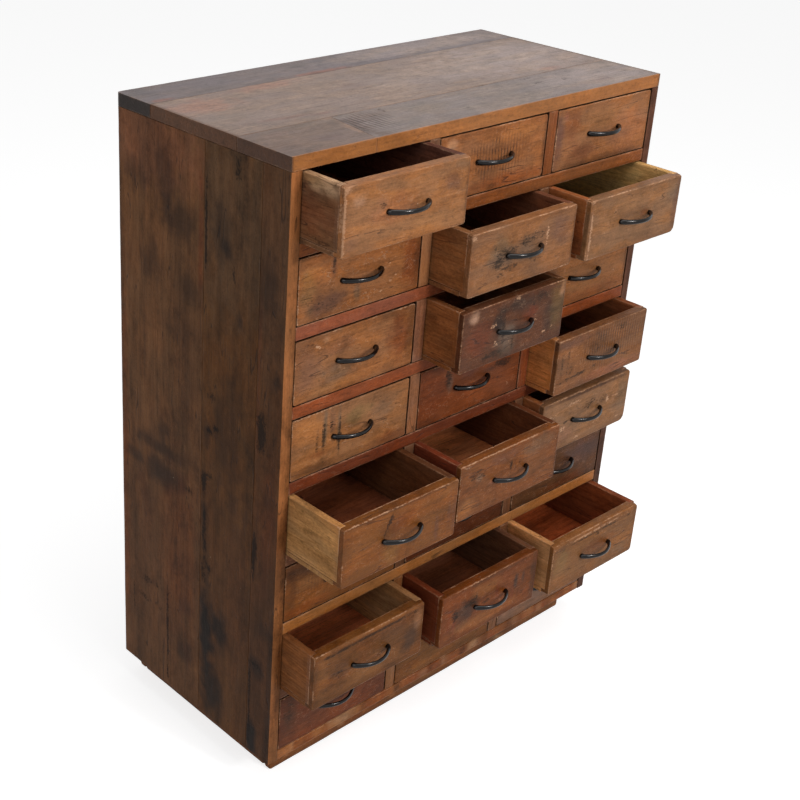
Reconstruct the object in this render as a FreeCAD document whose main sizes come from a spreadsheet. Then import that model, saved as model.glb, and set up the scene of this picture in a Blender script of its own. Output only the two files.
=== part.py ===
import FreeCAD, Part
import math
import os
import Sketcher

# Chest of 24 small drawers, eight rows of three, in reclaimed hardwood.
# Millimetres. The origin is on the floor under the middle of the chest,
# +Z is up, the drawers open towards -Y and +X is to the right of someone
# who stands in front of it.

doc = FreeCAD.newDocument("ChestOfDrawers")

# Driving dimensions

sizes = doc.addObject("Spreadsheet::Sheet", "Sizes")
sizeTable = (
    ("openingWidth", 285, "clear width of one drawer opening"),
    ("openingHeight", 120, "clear height of one drawer opening"),
    ("dividerThickness", 26, "upright between two drawers"),
    ("railThickness", 25, "rail between two rows"),
    ("railDepth", 45, "rail, front to back"),
    ("chestDepth", 460, "carcass, front to back"),
    ("leftSideThickness", 23, "left side panel"),
    ("rightSideThickness", 20, "right side panel"),
    ("topThickness", 25, "planks of the top"),
    ("bottomThickness", 22, "bottom board"),
    ("backThickness", 12, "boards of the back"),
    ("backLap", 8, "half lap from one back board to the next"),
    ("dustThickness", 12, "board that a row of drawers slides on"),
    ("tongueThickness", 5, "tongue of a dust board in its rail"),
    ("tongueDepth", 8, "how far that tongue goes in"),
    ("tongueDrop", 4, "from the top of a dust board to its tongue"),
    ("housingDepth", 6, "groove in a side panel for a dust board"),
    ("leftFrontPlank", 66, "width of the front plank, left side"),
    ("leftMiddlePlank", 146, "width of the middle plank, left side"),
    ("rightFrontPlank", 150, "width of the front plank, right side"),
    ("rightMiddlePlank", 160, "width of the middle plank, right side"),
    ("topFrontPlank", 133, "width of the two front planks of the top"),
    ("topSeamFront", 182, "butt seam of the front planks from the left, at the front"),
    ("topSeamBack", 204, "the same seam at the back of those planks"),
    ("topRearLeft", 98, "width of the rear plank of the top at its left end"),
    ("topRearRight", 90, "width of the same plank at its right end"),
    ("carcassWear", 1.5, "worn arris on the front edges of rails and uprights"),
    ("topWear", 2.5, "worn arris on the outer edges of the top"),
    ("plinthHeight", 58, "from the floor to the carcass"),
    ("plinthThickness", 20, "boards of the plinth"),
    ("plinthSideInset", 38, "plinth behind the outer face of each side"),
    ("plinthFrontInset", 35, "plinth behind the front of the carcass"),
    ("plinthBackInset", 2, "plinth inside the back of the carcass"),
    ("plinthRound", 5, "rounded front corners of the plinth"),
    ("blockLeg", 40, "leg of a triangular glue block"),
    ("blockHeight", 46, "length of a glue block"),
    ("bearerWidth", 30, "centre bearer of the plinth"),
    ("drawerSideGap", 1.6, "air on each side of a drawer"),
    ("drawerLift", 0.35, "air under a drawer"),
    ("drawerTopGap", 2.05, "air above a drawer"),
    ("drawerRearGap", 0.4, "air behind a drawer that is shut"),
    ("drawerFrontThickness", 20, "front board of a drawer"),
    ("drawerSideThickness", 15, "sides of a drawer"),
    ("drawerBackThickness", 15, "back of a drawer"),
    ("drawerBottomThickness", 9, "bottom of a drawer, nailed on from below"),
    ("drawerWear", 2.5, "worn arris round the front of a drawer"),
    ("pullLength", 100, "bow pull over its feet"),
    ("pullProjection", 27, "bow pull out from the drawer front"),
    ("pullThickness", 5, "thickness of the strap"),
    ("pullHeight", 10.5, "height of the strap"),
    ("pullFoot", 11, "flat foot at each end of the strap"),
    ("pullBendCut", 4, "flat that eases the bend beside a foot"),
    ("pullFootBevel", 3, "cut corners of a foot"),
    ("pullRaise", 1, "pull above the middle of the drawer front"),
    ("outL1", 93, "how far drawer L1 stands out"),
    ("outL5", 137, "how far drawer L5 stands out"),
    ("outL7", 85, "how far drawer L7 stands out"),
    ("outM2", 88, "how far drawer M2 stands out"),
    ("outM3", 86, "how far drawer M3 stands out"),
    ("outM5", 115, "how far drawer M5 stands out"),
    ("outM7", 104, "how far drawer M7 stands out"),
    ("outR2", 97, "how far drawer R2 stands out"),
    ("outR4", 68, "how far drawer R4 stands out"),
    ("outR5", 51, "how far drawer R5 stands out"),
    ("outR7", 120, "how far drawer R7 stands out"),
)
for line, (alias, number, meaning) in enumerate(sizeTable, start=1):
    sizes.set("A%d" % line, alias)
    sizes.set("B%d" % line, str(number))
    sizes.set("C%d" % line, meaning)
    sizes.setAlias("B%d" % line, alias)
doc.recompute()

columnNames = "LMR"
rowCount = 8
columnCount = len(columnNames)
shelfCount = rowCount - 1
backBoardCount = 5

# Lengths worked out from the sheet, as expressions

def sheetTerm(alias):
    return "Sizes." + alias


openingWidth = sheetTerm("openingWidth")
openingHeight = sheetTerm("openingHeight")
dividerThickness = sheetTerm("dividerThickness")
railThickness = sheetTerm("railThickness")
railDepth = sheetTerm("railDepth")
dustThickness = sheetTerm("dustThickness")
chestDepth = sheetTerm("chestDepth")

columnPitch = f"({openingWidth} + {dividerThickness})"
rowPitch = f"({openingHeight} + {railThickness})"
innerWidth = f"({columnCount} * {openingWidth} + {columnCount - 1} * {dividerThickness})"
chestWidth = f"({innerWidth} + Sizes.leftSideThickness + Sizes.rightSideThickness)"
chestLeft = f"(-{chestWidth} / 2)"
chestFront = f"(-{chestDepth} / 2)"
innerLeft = f"({chestLeft} + Sizes.leftSideThickness)"
innerDepth = f"({chestDepth} - Sizes.backThickness)"
sideHeight = f"(Sizes.bottomThickness + {rowCount} * {openingHeight} + {shelfCount} * {railThickness})"
floorOfLastRow = "(Sizes.plinthHeight + Sizes.bottomThickness)"
undersideOfTop = f"(Sizes.plinthHeight + {sideHeight})"
dustDrop = f"({railThickness} - {dustThickness})"

# Helpers

def originFeature(body, role):
    return [f for f in body.Origin.OriginFeatures if f.Role == role][0]


def bindPlacement(item, x="0", y="0", z="0"):
    for axis, text in (("x", x), ("y", y), ("z", z)):
        item.setExpression("Placement.Base." + axis, text)


def addOutline(body, name, role, corners):
    """Closed outline whose corners are pairs of expressions on an origin plane."""
    sketch = body.newObject("Sketcher::SketchObject", name)
    sketch.AttachmentSupport = (originFeature(body, role), [""])
    sketch.MapMode = "FlatFace"
    count = len(corners)
    points = [FreeCAD.Vector(*[body.evalExpression(text) for text in corner]) for corner in corners]
    for index in range(count):
        sketch.addGeometry(Part.LineSegment(points[index], points[(index + 1) % count]), False)
    for index in range(count):
        sketch.addConstraint(Sketcher.Constraint("Coincident", index, 2, (index + 1) % count, 1))
    for index, corner in enumerate(corners):
        for kind, axis, text in (("DistanceX", -2, corner[0]), ("DistanceY", -1, corner[1])):
            if text == "0":
                sketch.addConstraint(Sketcher.Constraint("PointOnObject", index, 1, axis))
                continue
            start = points[index].x if kind == "DistanceX" else points[index].y
            place = sketch.addConstraint(Sketcher.Constraint(kind, -1, 1, index, 1, start))
            sketch.setExpression("Constraints[%d]" % place, text)
    return sketch


def addPad(body, sketch, length):
    pad = body.newObject("PartDesign::Pad", sketch.Name + "Pad")
    pad.Profile = sketch
    pad.setExpression("Length", length)
    body.Tip = pad
    doc.recompute()
    return pad


def addEdgeFeature(body, base, kind, measure, text, wanted):
    """Fillet or Chamfer on the edges of the base feature that the test picks out."""
    names = ["Edge%d" % (i + 1) for i, edge in enumerate(base.Shape.Edges) if wanted(edge.BoundBox)]
    if not names:
        raise RuntimeError(base.Name + ": no edge to work on")
    feature = body.newObject("PartDesign::" + kind, base.Name + kind)
    feature.Base = (base, names)
    feature.setExpression(measure, text)
    body.Tip = feature
    doc.recompute()
    return feature


def addWear(body, base, size, wanted):
    return addEdgeFeature(body, base, "Chamfer", "Size", size, wanted)


def addPattern(body, originals, role, count, spacing):
    pattern = body.newObject("PartDesign::LinearPattern", originals[-1].Name + "Pattern")
    pattern.Originals = originals
    pattern.Direction = (originFeature(body, role), [""])
    pattern.Mode = "Spacing"
    pattern.Occurrences = count
    pattern.setExpression("Offset", spacing)
    body.Tip = pattern
    doc.recompute()
    return pattern


def addBox(name, length, width, height, x="0", y="0", z="0"):
    box = doc.addObject("Part::Box", name)
    box.setExpression("Length", length)
    box.setExpression("Width", width)
    box.setExpression("Height", height)
    bindPlacement(box, x, y, z)
    return box


def addSubPart(item, name):
    item.Label = name
    subParts.append(item)


def addGroup(name, links):
    """Pieces of one sub-part, each still a solid of its own."""
    group = doc.addObject("Part::Compound", name)
    group.Links = links
    addSubPart(group, name)
    return group


subParts = []
near = 0.01

# Side panels: three upright planks each, with a stopped housing for every dust board

def addSidePlank(name, thickness, start, width, innerIsRight):
    """Upright plank; start is its distance behind the front of the carcass."""
    body = doc.addObject("PartDesign::Body", name)
    plan = addOutline(body, name + "Plan", "XY_Plane",
                      (("0", "0"), (thickness, "0"), (thickness, width), ("0", width)))
    board = addPad(body, plan, sideHeight)
    inside = f"{thickness} - Sizes.housingDepth" if innerIsRight else "0"
    outside = thickness if innerIsRight else "Sizes.housingDepth"
    low = f"Sizes.bottomThickness + {openingHeight} + {dustDrop}"
    high = f"{low} + {dustThickness}"
    groove = addOutline(body, name + "Groove", "XZ_Plane",
                        ((inside, low), (outside, low), (outside, high), (inside, high)))
    groove.setExpression("AttachmentOffset.Base.z", f"-max(0; {railDepth} - Sizes.tongueDepth - {start})")
    pocket = body.newObject("PartDesign::Pocket", name + "Pocket")
    pocket.Profile = groove
    pocket.Type = "ThroughAll"
    body.Tip = pocket
    doc.recompute()
    if pocket.Shape.Volume >= board.Shape.Volume:
        raise RuntimeError(name + ": the housing cuts nothing")
    addPattern(body, [pocket], "Z_Axis", shelfCount, rowPitch)
    return body


def addSide(name, thickness, frontWidth, middleWidth, x, innerIsRight):
    planks = []
    runs = (
        ("Front", "0", frontWidth),
        ("Middle", frontWidth, middleWidth),
        ("Rear", f"({frontWidth} + {middleWidth})", f"({chestDepth} - {frontWidth} - {middleWidth})"),
    )
    for part, start, width in runs:
        plank = addSidePlank(name + part, thickness, start, width, innerIsRight)
        bindPlacement(plank, x, f"{chestFront} + {start}", "Sizes.plinthHeight")
        planks.append(plank)
    return addGroup(name, planks)


addSide("side_left", "Sizes.leftSideThickness", "Sizes.leftFrontPlank", "Sizes.leftMiddlePlank",
        chestLeft, True)
addSide("side_right", "Sizes.rightSideThickness", "Sizes.rightFrontPlank", "Sizes.rightMiddlePlank",
        f"{innerLeft} + {innerWidth}", False)

# Top: four planks that lie over the sides, with worn outer edges

def addTopPlank(name, corners):
    body = doc.addObject("PartDesign::Body", name)
    plan = addOutline(body, name + "Plan", "XY_Plane", corners)
    board = addPad(body, plan, "Sizes.topThickness")
    width = body.evalExpression(chestWidth)
    depth = body.evalExpression(chestDepth)

    def outerUpperEdge(box):
        if box.ZMin < board.Shape.BoundBox.ZMax - near:
            return False
        atEnd = box.XMax < near or box.XMin > width - near
        return atEnd or box.YMax < near or box.YMin > depth - near

    addWear(body, board, "Sizes.topWear", outerUpperEdge)
    bindPlacement(body, chestLeft, chestFront, undersideOfTop)
    return body


seamFront = "Sizes.topSeamFront"
seamBack = "Sizes.topSeamBack"
frontPlank = "Sizes.topFrontPlank"
rearLeft = f"{chestDepth} - Sizes.topRearLeft"
rearRight = f"{chestDepth} - Sizes.topRearRight"
topPlanks = (
    addTopPlank("TopFrontShort", (("0", "0"), (seamFront, "0"), (seamBack, frontPlank), ("0", frontPlank))),
    addTopPlank("TopFrontLong", ((seamFront, "0"), (chestWidth, "0"), (chestWidth, frontPlank),
                                 (seamBack, frontPlank))),
    addTopPlank("TopMiddle", (("0", frontPlank), (chestWidth, frontPlank), (chestWidth, rearRight),
                              ("0", rearLeft))),
)
addGroup("top_planks", topPlanks)
topRear = addTopPlank("TopRear", (("0", rearLeft), (chestWidth, rearRight), (chestWidth, chestDepth),
                                  ("0", chestDepth)))
addGroup("top_rear_plank", [topRear])

# Bottom board between the sides

bottom = doc.addObject("PartDesign::Body", "BottomBoard")
bottomProfile = addOutline(bottom, "BottomProfile", "YZ_Plane",
                           (("0", "0"), (innerDepth, "0"), (innerDepth, "Sizes.bottomThickness"),
                            ("0", "Sizes.bottomThickness")))
bottomPad = addPad(bottom, bottomProfile, innerWidth)


def frontLongEdge(box):
    return box.YMax < near and box.XLength > box.ZLength


addWear(bottom, bottomPad, "Sizes.carcassWear", frontLongEdge)
bindPlacement(bottom, innerLeft, chestFront, "Sizes.plinthHeight")
addSubPart(bottom, "bottom_board")

# Front rails, grooved behind for the dust boards

tongueLow = f"({railThickness} - Sizes.tongueDrop - Sizes.tongueThickness)"
tongueHigh = f"({railThickness} - Sizes.tongueDrop)"
grooveFace = f"({railDepth} - Sizes.tongueDepth)"
firstShelf = f"({floorOfLastRow} + {openingHeight})"

rails = doc.addObject("PartDesign::Body", "FrontRails")
railProfile = addOutline(rails, "RailProfile", "YZ_Plane", (
    ("0", "0"), (railDepth, "0"), (railDepth, tongueLow), (grooveFace, tongueLow),
    (grooveFace, tongueHigh), (railDepth, tongueHigh), (railDepth, railThickness), ("0", railThickness)))
railPad = addPad(rails, railProfile, innerWidth)
railWear = addWear(rails, railPad, "Sizes.carcassWear", frontLongEdge)
addPattern(rails, [railPad, railWear], "Z_Axis", shelfCount, rowPitch)
bindPlacement(rails, innerLeft, chestFront, firstShelf)
addSubPart(rails, "front_rails")

# Dust boards, tongued into the rails and housed in the sides

dustDepth = f"({innerDepth} - {railDepth})"
dustRear = f"(Sizes.tongueDepth + {dustDepth})"
dustTongueLow = f"({dustThickness} - Sizes.tongueDrop - Sizes.tongueThickness)"
dustTongueHigh = f"({dustThickness} - Sizes.tongueDrop)"

dust = doc.addObject("PartDesign::Body", "DustBoards")
dustProfile = addOutline(dust, "DustProfile", "YZ_Plane", (
    ("0", dustTongueLow), ("Sizes.tongueDepth", dustTongueLow), ("Sizes.tongueDepth", "0"),
    (dustRear, "0"), (dustRear, dustThickness), ("Sizes.tongueDepth", dustThickness),
    ("Sizes.tongueDepth", dustTongueHigh), ("0", dustTongueHigh)))
dustPad = addPad(dust, dustProfile, f"{innerWidth} + 2 * Sizes.housingDepth")
addPattern(dust, [dustPad], "Z_Axis", shelfCount, rowPitch)
bindPlacement(dust, f"{innerLeft} - Sizes.housingDepth", f"{chestFront} + {grooveFace}",
              f"{firstShelf} + {dustDrop}")
addSubPart(dust, "dust_boards")

# Uprights between the drawers, notched under the rail above them

def addPartitions(name, corners):
    body = doc.addObject("PartDesign::Body", name)
    profile = addOutline(body, name + "Profile", "YZ_Plane", corners)
    pad = addPad(body, profile, dividerThickness)

    def frontUprightEdge(box):
        return box.YMax < near and box.ZLength > near

    wear = addWear(body, pad, "Sizes.carcassWear", frontUprightEdge)
    return body, [pad, wear]


notchTop = f"({openingHeight} + {dustDrop})"
lower, lowerFeatures = addPartitions("LowerPartitions", (
    ("0", "0"), (innerDepth, "0"), (innerDepth, notchTop), (railDepth, notchTop),
    (railDepth, openingHeight), ("0", openingHeight)))
grid = addPattern(lower, lowerFeatures, "Z_Axis", shelfCount, rowPitch)
grid.Direction2 = (originFeature(lower, "X_Axis"), [""])
grid.Mode2 = "Spacing"
grid.Occurrences2 = columnCount - 1
grid.setExpression("Offset2", columnPitch)
upper, upperFeatures = addPartitions("UpperPartitions", (
    ("0", "0"), (innerDepth, "0"), (innerDepth, openingHeight), ("0", openingHeight)))
addPattern(upper, upperFeatures, "X_Axis", columnCount - 1, columnPitch)
bindPlacement(lower, f"{innerLeft} + {openingWidth}", chestFront, floorOfLastRow)
bindPlacement(upper, f"{innerLeft} + {openingWidth}", chestFront,
              f"{floorOfLastRow} + {shelfCount} * {rowPitch}")
addGroup("partitions", [lower, upper])

# Back: upright boards with half laps, between the sides

backBoardWidth = f"({innerWidth} / {backBoardCount})"
halfBack = "(Sizes.backThickness / 2)"
backBoards = []
for index in range(backBoardCount):
    leftLap = "0" if index == 0 else "Sizes.backLap"
    rightLap = backBoardWidth
    if index < backBoardCount - 1:
        rightLap = f"({backBoardWidth} + Sizes.backLap)"
    corners = [("0", "0"), (backBoardWidth, "0")]
    if index < backBoardCount - 1:
        corners += [(backBoardWidth, halfBack), (rightLap, halfBack)]
    corners += [(rightLap, "Sizes.backThickness"), (leftLap, "Sizes.backThickness")]
    if index > 0:
        corners += [(leftLap, halfBack), ("0", halfBack)]
    board = doc.addObject("PartDesign::Body", "BackBoard%d" % (index + 1))
    plan = addOutline(board, board.Name + "Plan", "XY_Plane", corners)
    addPad(board, plan, sideHeight)
    bindPlacement(board, f"{innerLeft} + {index} * {backBoardWidth}", f"{chestFront} + {innerDepth}",
                  "Sizes.plinthHeight")
    backBoards.append(board)
addGroup("back_boards", backBoards)

# Plinth: recessed frame with rounded front corners, glue blocks and a centre bearer

plinthThickness = "Sizes.plinthThickness"
plinthLeft = f"({chestLeft} + Sizes.plinthSideInset)"
plinthWidth = f"({chestWidth} - 2 * Sizes.plinthSideInset)"
plinthFront = f"({chestFront} + Sizes.plinthFrontInset)"
plinthDepth = f"({chestDepth} - Sizes.plinthFrontInset - Sizes.plinthBackInset)"
plinthGap = f"({plinthDepth} - 2 * {plinthThickness})"

front = doc.addObject("PartDesign::Body", "PlinthFront")
frontPlan = addOutline(front, "PlinthFrontPlan", "XY_Plane",
                       (("0", "0"), (plinthWidth, "0"), (plinthWidth, plinthThickness),
                        ("0", plinthThickness)))
frontPad = addPad(front, frontPlan, "Sizes.plinthHeight")


def frontCornerEdge(box):
    return box.YMax < near and box.ZLength > near and box.XLength < near


addEdgeFeature(front, frontPad, "Fillet", "Radius", "Sizes.plinthRound", frontCornerEdge)
bindPlacement(front, plinthLeft, plinthFront)
rearBoard = addBox("PlinthRear", plinthWidth, plinthThickness, "Sizes.plinthHeight",
                   plinthLeft, f"{plinthFront} + {plinthDepth} - {plinthThickness}")
leftBoard = addBox("PlinthLeft", plinthThickness, plinthGap, "Sizes.plinthHeight",
                   plinthLeft, f"{plinthFront} + {plinthThickness}")
rightBoard = addBox("PlinthRight", plinthThickness, plinthGap, "Sizes.plinthHeight",
                    f"{plinthLeft} + {plinthWidth} - {plinthThickness}",
                    f"{plinthFront} + {plinthThickness}")
addGroup("plinth", [front, rearBoard, leftBoard, rightBoard])

bearer = addBox("PlinthBearer", "Sizes.bearerWidth", plinthGap, "Sizes.plinthHeight",
                "-Sizes.bearerWidth / 2", f"{plinthFront} + {plinthThickness}")
addSubPart(bearer, "plinth_bearer")

blocks = []
blockX = {"Left": f"{plinthLeft} + {plinthThickness}",
          "Right": f"{plinthLeft} + {plinthWidth} - {plinthThickness}"}
blockY = {"Front": f"{plinthFront} + {plinthThickness}",
          "Rear": f"{plinthFront} + {plinthDepth} - {plinthThickness}"}
turns = (("Left", "Front", 0), ("Right", "Front", 90), ("Right", "Rear", 180), ("Left", "Rear", 270))
for sideName, endName, turn in turns:
    block = doc.addObject("PartDesign::Body", "Block" + sideName + endName)
    plan = addOutline(block, block.Name + "Plan", "XY_Plane",
                      (("0", "0"), ("Sizes.blockLeg", "0"), ("0", "Sizes.blockLeg")))
    addPad(block, plan, "Sizes.blockHeight")
    block.Placement.Rotation = FreeCAD.Rotation(FreeCAD.Vector(0, 0, 1), turn)
    bindPlacement(block, blockX[sideName], blockY[endName], "Sizes.plinthHeight - Sizes.blockHeight")
    blocks.append(block)
addGroup("plinth_blocks", blocks)

# Drawer, in its own frame: x from its middle, y = 0 at its front face, z = 0 under it

drawerWidth = f"({openingWidth} - 2 * Sizes.drawerSideGap)"
drawerHeight = f"({openingHeight} - Sizes.drawerLift - Sizes.drawerTopGap)"
drawerLength = f"({innerDepth} - Sizes.drawerRearGap)"
drawerLeft = f"(-{drawerWidth} / 2)"
sideLength = f"({drawerLength} - Sizes.drawerFrontThickness)"
wallHeight = f"({drawerHeight} - Sizes.drawerBottomThickness)"

drawerFront = doc.addObject("PartDesign::Body", "DrawerFront")
drawerPlan = addOutline(drawerFront, "DrawerFrontPlan", "XY_Plane",
                        (("0", "0"), (drawerWidth, "0"), (drawerWidth, "Sizes.drawerFrontThickness"),
                         ("0", "Sizes.drawerFrontThickness")))
drawerPad = addPad(drawerFront, drawerPlan, drawerHeight)
addWear(drawerFront, drawerPad, "Sizes.drawerWear", lambda box: box.YMax < near)
bindPlacement(drawerFront, drawerLeft)
drawerPieces = [
    drawerFront,
    addBox("DrawerSideLeft", "Sizes.drawerSideThickness", sideLength, wallHeight,
           drawerLeft, "Sizes.drawerFrontThickness", "Sizes.drawerBottomThickness"),
    addBox("DrawerSideRight", "Sizes.drawerSideThickness", sideLength, wallHeight,
           f"-{drawerLeft} - Sizes.drawerSideThickness", "Sizes.drawerFrontThickness",
           "Sizes.drawerBottomThickness"),
    addBox("DrawerBack", f"{drawerWidth} - 2 * Sizes.drawerSideThickness", "Sizes.drawerBackThickness",
           wallHeight, f"{drawerLeft} + Sizes.drawerSideThickness",
           f"{drawerLength} - Sizes.drawerBackThickness", "Sizes.drawerBottomThickness"),
    addBox("DrawerBottom", drawerWidth, sideLength, "Sizes.drawerBottomThickness",
           drawerLeft, "Sizes.drawerFrontThickness"),
]

# Bow pull, in the same frame: a strap bent over one bow, with flat feet on the drawer front

def addStrapHalf(sketch, halfLength, foot, strap, projection):
    """Left half from above: the foot, and the bow from it over to the middle."""
    rise = projection - strap
    reach = halfLength - foot
    bowRadius = (reach ** 2 + rise ** 2) / (2 * rise)
    centre = FreeCAD.Vector(0, bowRadius - rise, 0)
    outerRadius = bowRadius + strap
    outerReach = math.sqrt(outerRadius ** 2 - (centre.y + strap) ** 2)
    middleAngle = 1.5 * math.pi

    def line(start, end):
        return Part.LineSegment(FreeCAD.Vector(*start, 0), FreeCAD.Vector(*end, 0))

    def bow(radius, x, y):
        start = math.atan2(y - centre.y, x) + 2 * math.pi
        return Part.ArcOfCircle(Part.Circle(centre, FreeCAD.Vector(0, 0, 1), radius), start, middleAngle)

    outline = (
        line((-halfLength, 0), (-halfLength, -strap)),
        line((-halfLength, -strap), (-outerReach, -strap)),
        bow(outerRadius, -outerReach, -strap),
        line((0, -projection), (0, -rise)),
        bow(bowRadius, -reach, 0),
        line((-reach, 0), (-halfLength, 0)),
    )
    for piece in outline:
        sketch.addGeometry(piece, False)
    footEnd, footFace, bowOut, middle, bowIn, seat = range(len(outline))
    rules = (
        ("Coincident", footEnd, 2, footFace, 1), ("Coincident", footFace, 2, bowOut, 1),
        ("Coincident", bowOut, 2, middle, 1), ("Coincident", middle, 2, bowIn, 2),
        ("Coincident", bowIn, 1, seat, 1), ("Coincident", seat, 2, footEnd, 1),
        ("Coincident", bowOut, 3, bowIn, 3),
        ("Vertical", footEnd), ("Horizontal", footFace), ("Horizontal", seat),
        ("PointOnObject", footEnd, 1, -1), ("PointOnObject", middle, 1, -2),
        ("PointOnObject", middle, 2, -2), ("PointOnObject", bowOut, 3, -2),
    )
    for rule in rules:
        sketch.addConstraint(Sketcher.Constraint(*rule))
    measures = (
        ("Sizes.pullLength / 2", ("DistanceX", footEnd, 1, -1, 1, halfLength)),
        ("Sizes.pullProjection", ("DistanceY", middle, 1, -1, 1, projection)),
        ("Sizes.pullThickness", ("Distance", footEnd, strap)),
        ("Sizes.pullThickness", ("Distance", middle, strap)),
        ("Sizes.pullFoot", ("Distance", seat, foot)),
    )
    for text, measure in measures:
        place = sketch.addConstraint(Sketcher.Constraint(*measure))
        sketch.setExpression("Constraints[%d]" % place, text)


pull = doc.addObject("PartDesign::Body", "BowPull")
strapHalf = pull.newObject("Sketcher::SketchObject", "StrapHalf")
strapHalf.AttachmentSupport = (originFeature(pull, "XY_Plane"), [""])
strapHalf.MapMode = "FlatFace"
halfPullLength = sizes.pullLength / 2
addStrapHalf(strapHalf, halfPullLength, sizes.pullFoot, sizes.pullThickness, sizes.pullProjection)
strapPad = pull.newObject("PartDesign::Pad", "StrapPad")
strapPad.Profile = strapHalf
strapPad.SideType = "Symmetric"
strapPad.setExpression("Length", "Sizes.pullHeight")
strap = pull.newObject("PartDesign::Mirrored", "Strap")
strap.Originals = [strapPad]
strap.MirrorPlane = (originFeature(pull, "YZ_Plane"), [""])
pull.Tip = strap
doc.recompute()


def bendEdge(box):
    isUpright = box.XLength < near and box.YLength < near
    return isUpright and near < abs(box.XMax) < halfPullLength - near


def footCornerEdge(box):
    isAcross = box.ZLength < near and box.XLength < near
    return isAcross and abs(box.XMax) > halfPullLength - near


bentStrap = addWear(pull, strap, "Sizes.pullBendCut", bendEdge)
addWear(pull, bentStrap, "Sizes.pullFootBevel", footCornerEdge)

# The 24 drawers and their pulls, each where it stands at rest

columnCentre = f"({innerLeft} + {openingWidth} / 2)"
for column, letter in enumerate(columnNames):
    for row in range(1, rowCount + 1):
        place = letter + str(row)
        out = "0"
        if hasattr(sizes, "out" + place):
            out = "Sizes.out" + place
        x = f"{columnCentre} + {column} * {columnPitch}"
        y = f"{chestFront} - {out}"
        z = f"{floorOfLastRow} + {rowCount - row} * {rowPitch} + Sizes.drawerLift"
        drawer = addGroup("drawer_" + place, drawerPieces)
        bindPlacement(drawer, x, y, z)
        ownPull = addGroup("pull_" + place, [pull])
        bindPlacement(ownPull, x, y, f"{z} + {drawerHeight} / 2 + Sizes.pullRaise")

doc.recompute()

# Checks, then one file for each sub-part

for item in doc.Objects:
    if "Invalid" in item.State or "Error" in item.State:
        raise RuntimeError(item.Name + " did not build: " + ", ".join(item.State))
for item in subParts:
    if item.Shape.isNull() or not item.Shape.isValid():
        raise RuntimeError(item.Label + " has no valid shape")

os.makedirs("parts", exist_ok=True)
for item in subParts:
    item.Shape.exportStep("parts/" + item.Label + ".step")
print(len(subParts), "sub-parts,", sum(len(item.Shape.Solids) for item in subParts), "solids")
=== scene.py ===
import math
import bmesh
import bpy
import numpy as np
from mathutils import Matrix, Vector, noise


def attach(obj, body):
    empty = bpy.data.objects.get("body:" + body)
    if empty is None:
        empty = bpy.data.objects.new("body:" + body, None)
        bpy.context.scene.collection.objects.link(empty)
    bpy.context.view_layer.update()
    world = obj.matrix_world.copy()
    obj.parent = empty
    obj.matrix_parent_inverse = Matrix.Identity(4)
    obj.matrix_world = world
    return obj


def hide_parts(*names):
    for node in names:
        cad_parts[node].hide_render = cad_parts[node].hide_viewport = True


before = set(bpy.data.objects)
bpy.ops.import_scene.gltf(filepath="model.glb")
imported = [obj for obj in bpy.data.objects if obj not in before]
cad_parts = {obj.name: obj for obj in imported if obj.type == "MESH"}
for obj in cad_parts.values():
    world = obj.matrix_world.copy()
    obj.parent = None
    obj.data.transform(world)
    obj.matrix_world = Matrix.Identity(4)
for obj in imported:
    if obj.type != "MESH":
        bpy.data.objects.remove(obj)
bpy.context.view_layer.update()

print("frame loaded")
mm = 0.001

# what each vertex of a board carries for its material
place = "boardPlace"  # point of the board: along the grain, across it, through it
half = "boardHalf"  # half of the board's length, width and thickness
seed = "boardSeed"
paint = "boardPaint"
marks = "boardMarks"  # red: dark stain, green: pale wear, blue: saw chatter, alpha: crackled wax, whose ridges are painted pale as a highlight


def linear(hexColour):
    parts = [int(hexColour[i:i + 2], 16) / 255 for i in (0, 2, 4)]
    return [p / 12.92 if p <= 0.04045 else ((p + 0.055) / 1.055) ** 2.4 for p in parts] + [1.0]


# materials

def addNode(tree, kind, settings, output=0):
    # a setting goes to the node's socket or property of that name; another node's output is linked
    node = tree.nodes.new("ShaderNode" + kind)
    for key, value in settings.items():
        if isinstance(value, bpy.types.NodeSocket):
            tree.links.new(value, node.inputs[key])
        elif isinstance(key, int) or key in node.inputs:
            node.inputs[key].default_value = value
        else:
            setattr(node, key, value)
    return node.outputs[output] if node.outputs else node


def newMaterial(name):
    material = bpy.data.materials.new(name)
    material.use_nodes = True
    material.node_tree.nodes.clear()
    return material, material.node_tree


patterns = {  # noise drawn out along the grain: length and width in mm, detail, roughness, distortion
    "cloud": (77, 48, 2, 0.55, 0.5),  # slow swells of tone
    "drift": (110, 38, 2, 0.5, 0.3),  # where the wood turns warmer or cooler
    "blotch": (24, 14, 3, 0.65, 0.0),
    "grit": (6.2, 4.2, 2, 0.7, 0.0),  # 4 to 6 mm, what the plane and years of dirt leave
    "fibre": (80, 3.2, 3, 0.7, 0.0),  # fibre bundles
    "figure": (450, 42, 2, 0.5, 0.5),  # growth bands
    "pore": (13, 1.2, 2, 0.6, 0.0),  # open pores, really 0.3 mm wide, drawn at 1.2 mm to show
    "crinkle": (17, 11, 1.5, 0.6, 0.6),  # its middle level is drawn as the raised skin of old wax in the bump, and painted pale as a highlight on it
    "band": (900, 30, 2, 0.55, 0.3),  # darker and lighter stripes as long as the board
    "split": (220, 22, 1.5, 0.55, 0.2),  # its middle level is drawn as a fine crack
}
spread = {  # layers cut straight from a pattern: the pattern, and between which of its levels they set in
    "pore": ("pore", 0.6, 0.72),
    "mottle": ("grit", 0.5, 0.62),
}
hairline = {  # layers drawn along a pattern's middle level: the pattern, the line's core and its outer rim
    "crack": ("split", 0.003, 0.011),
    "crinkle": ("crinkle", 0.004, 0.03),
}
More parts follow.
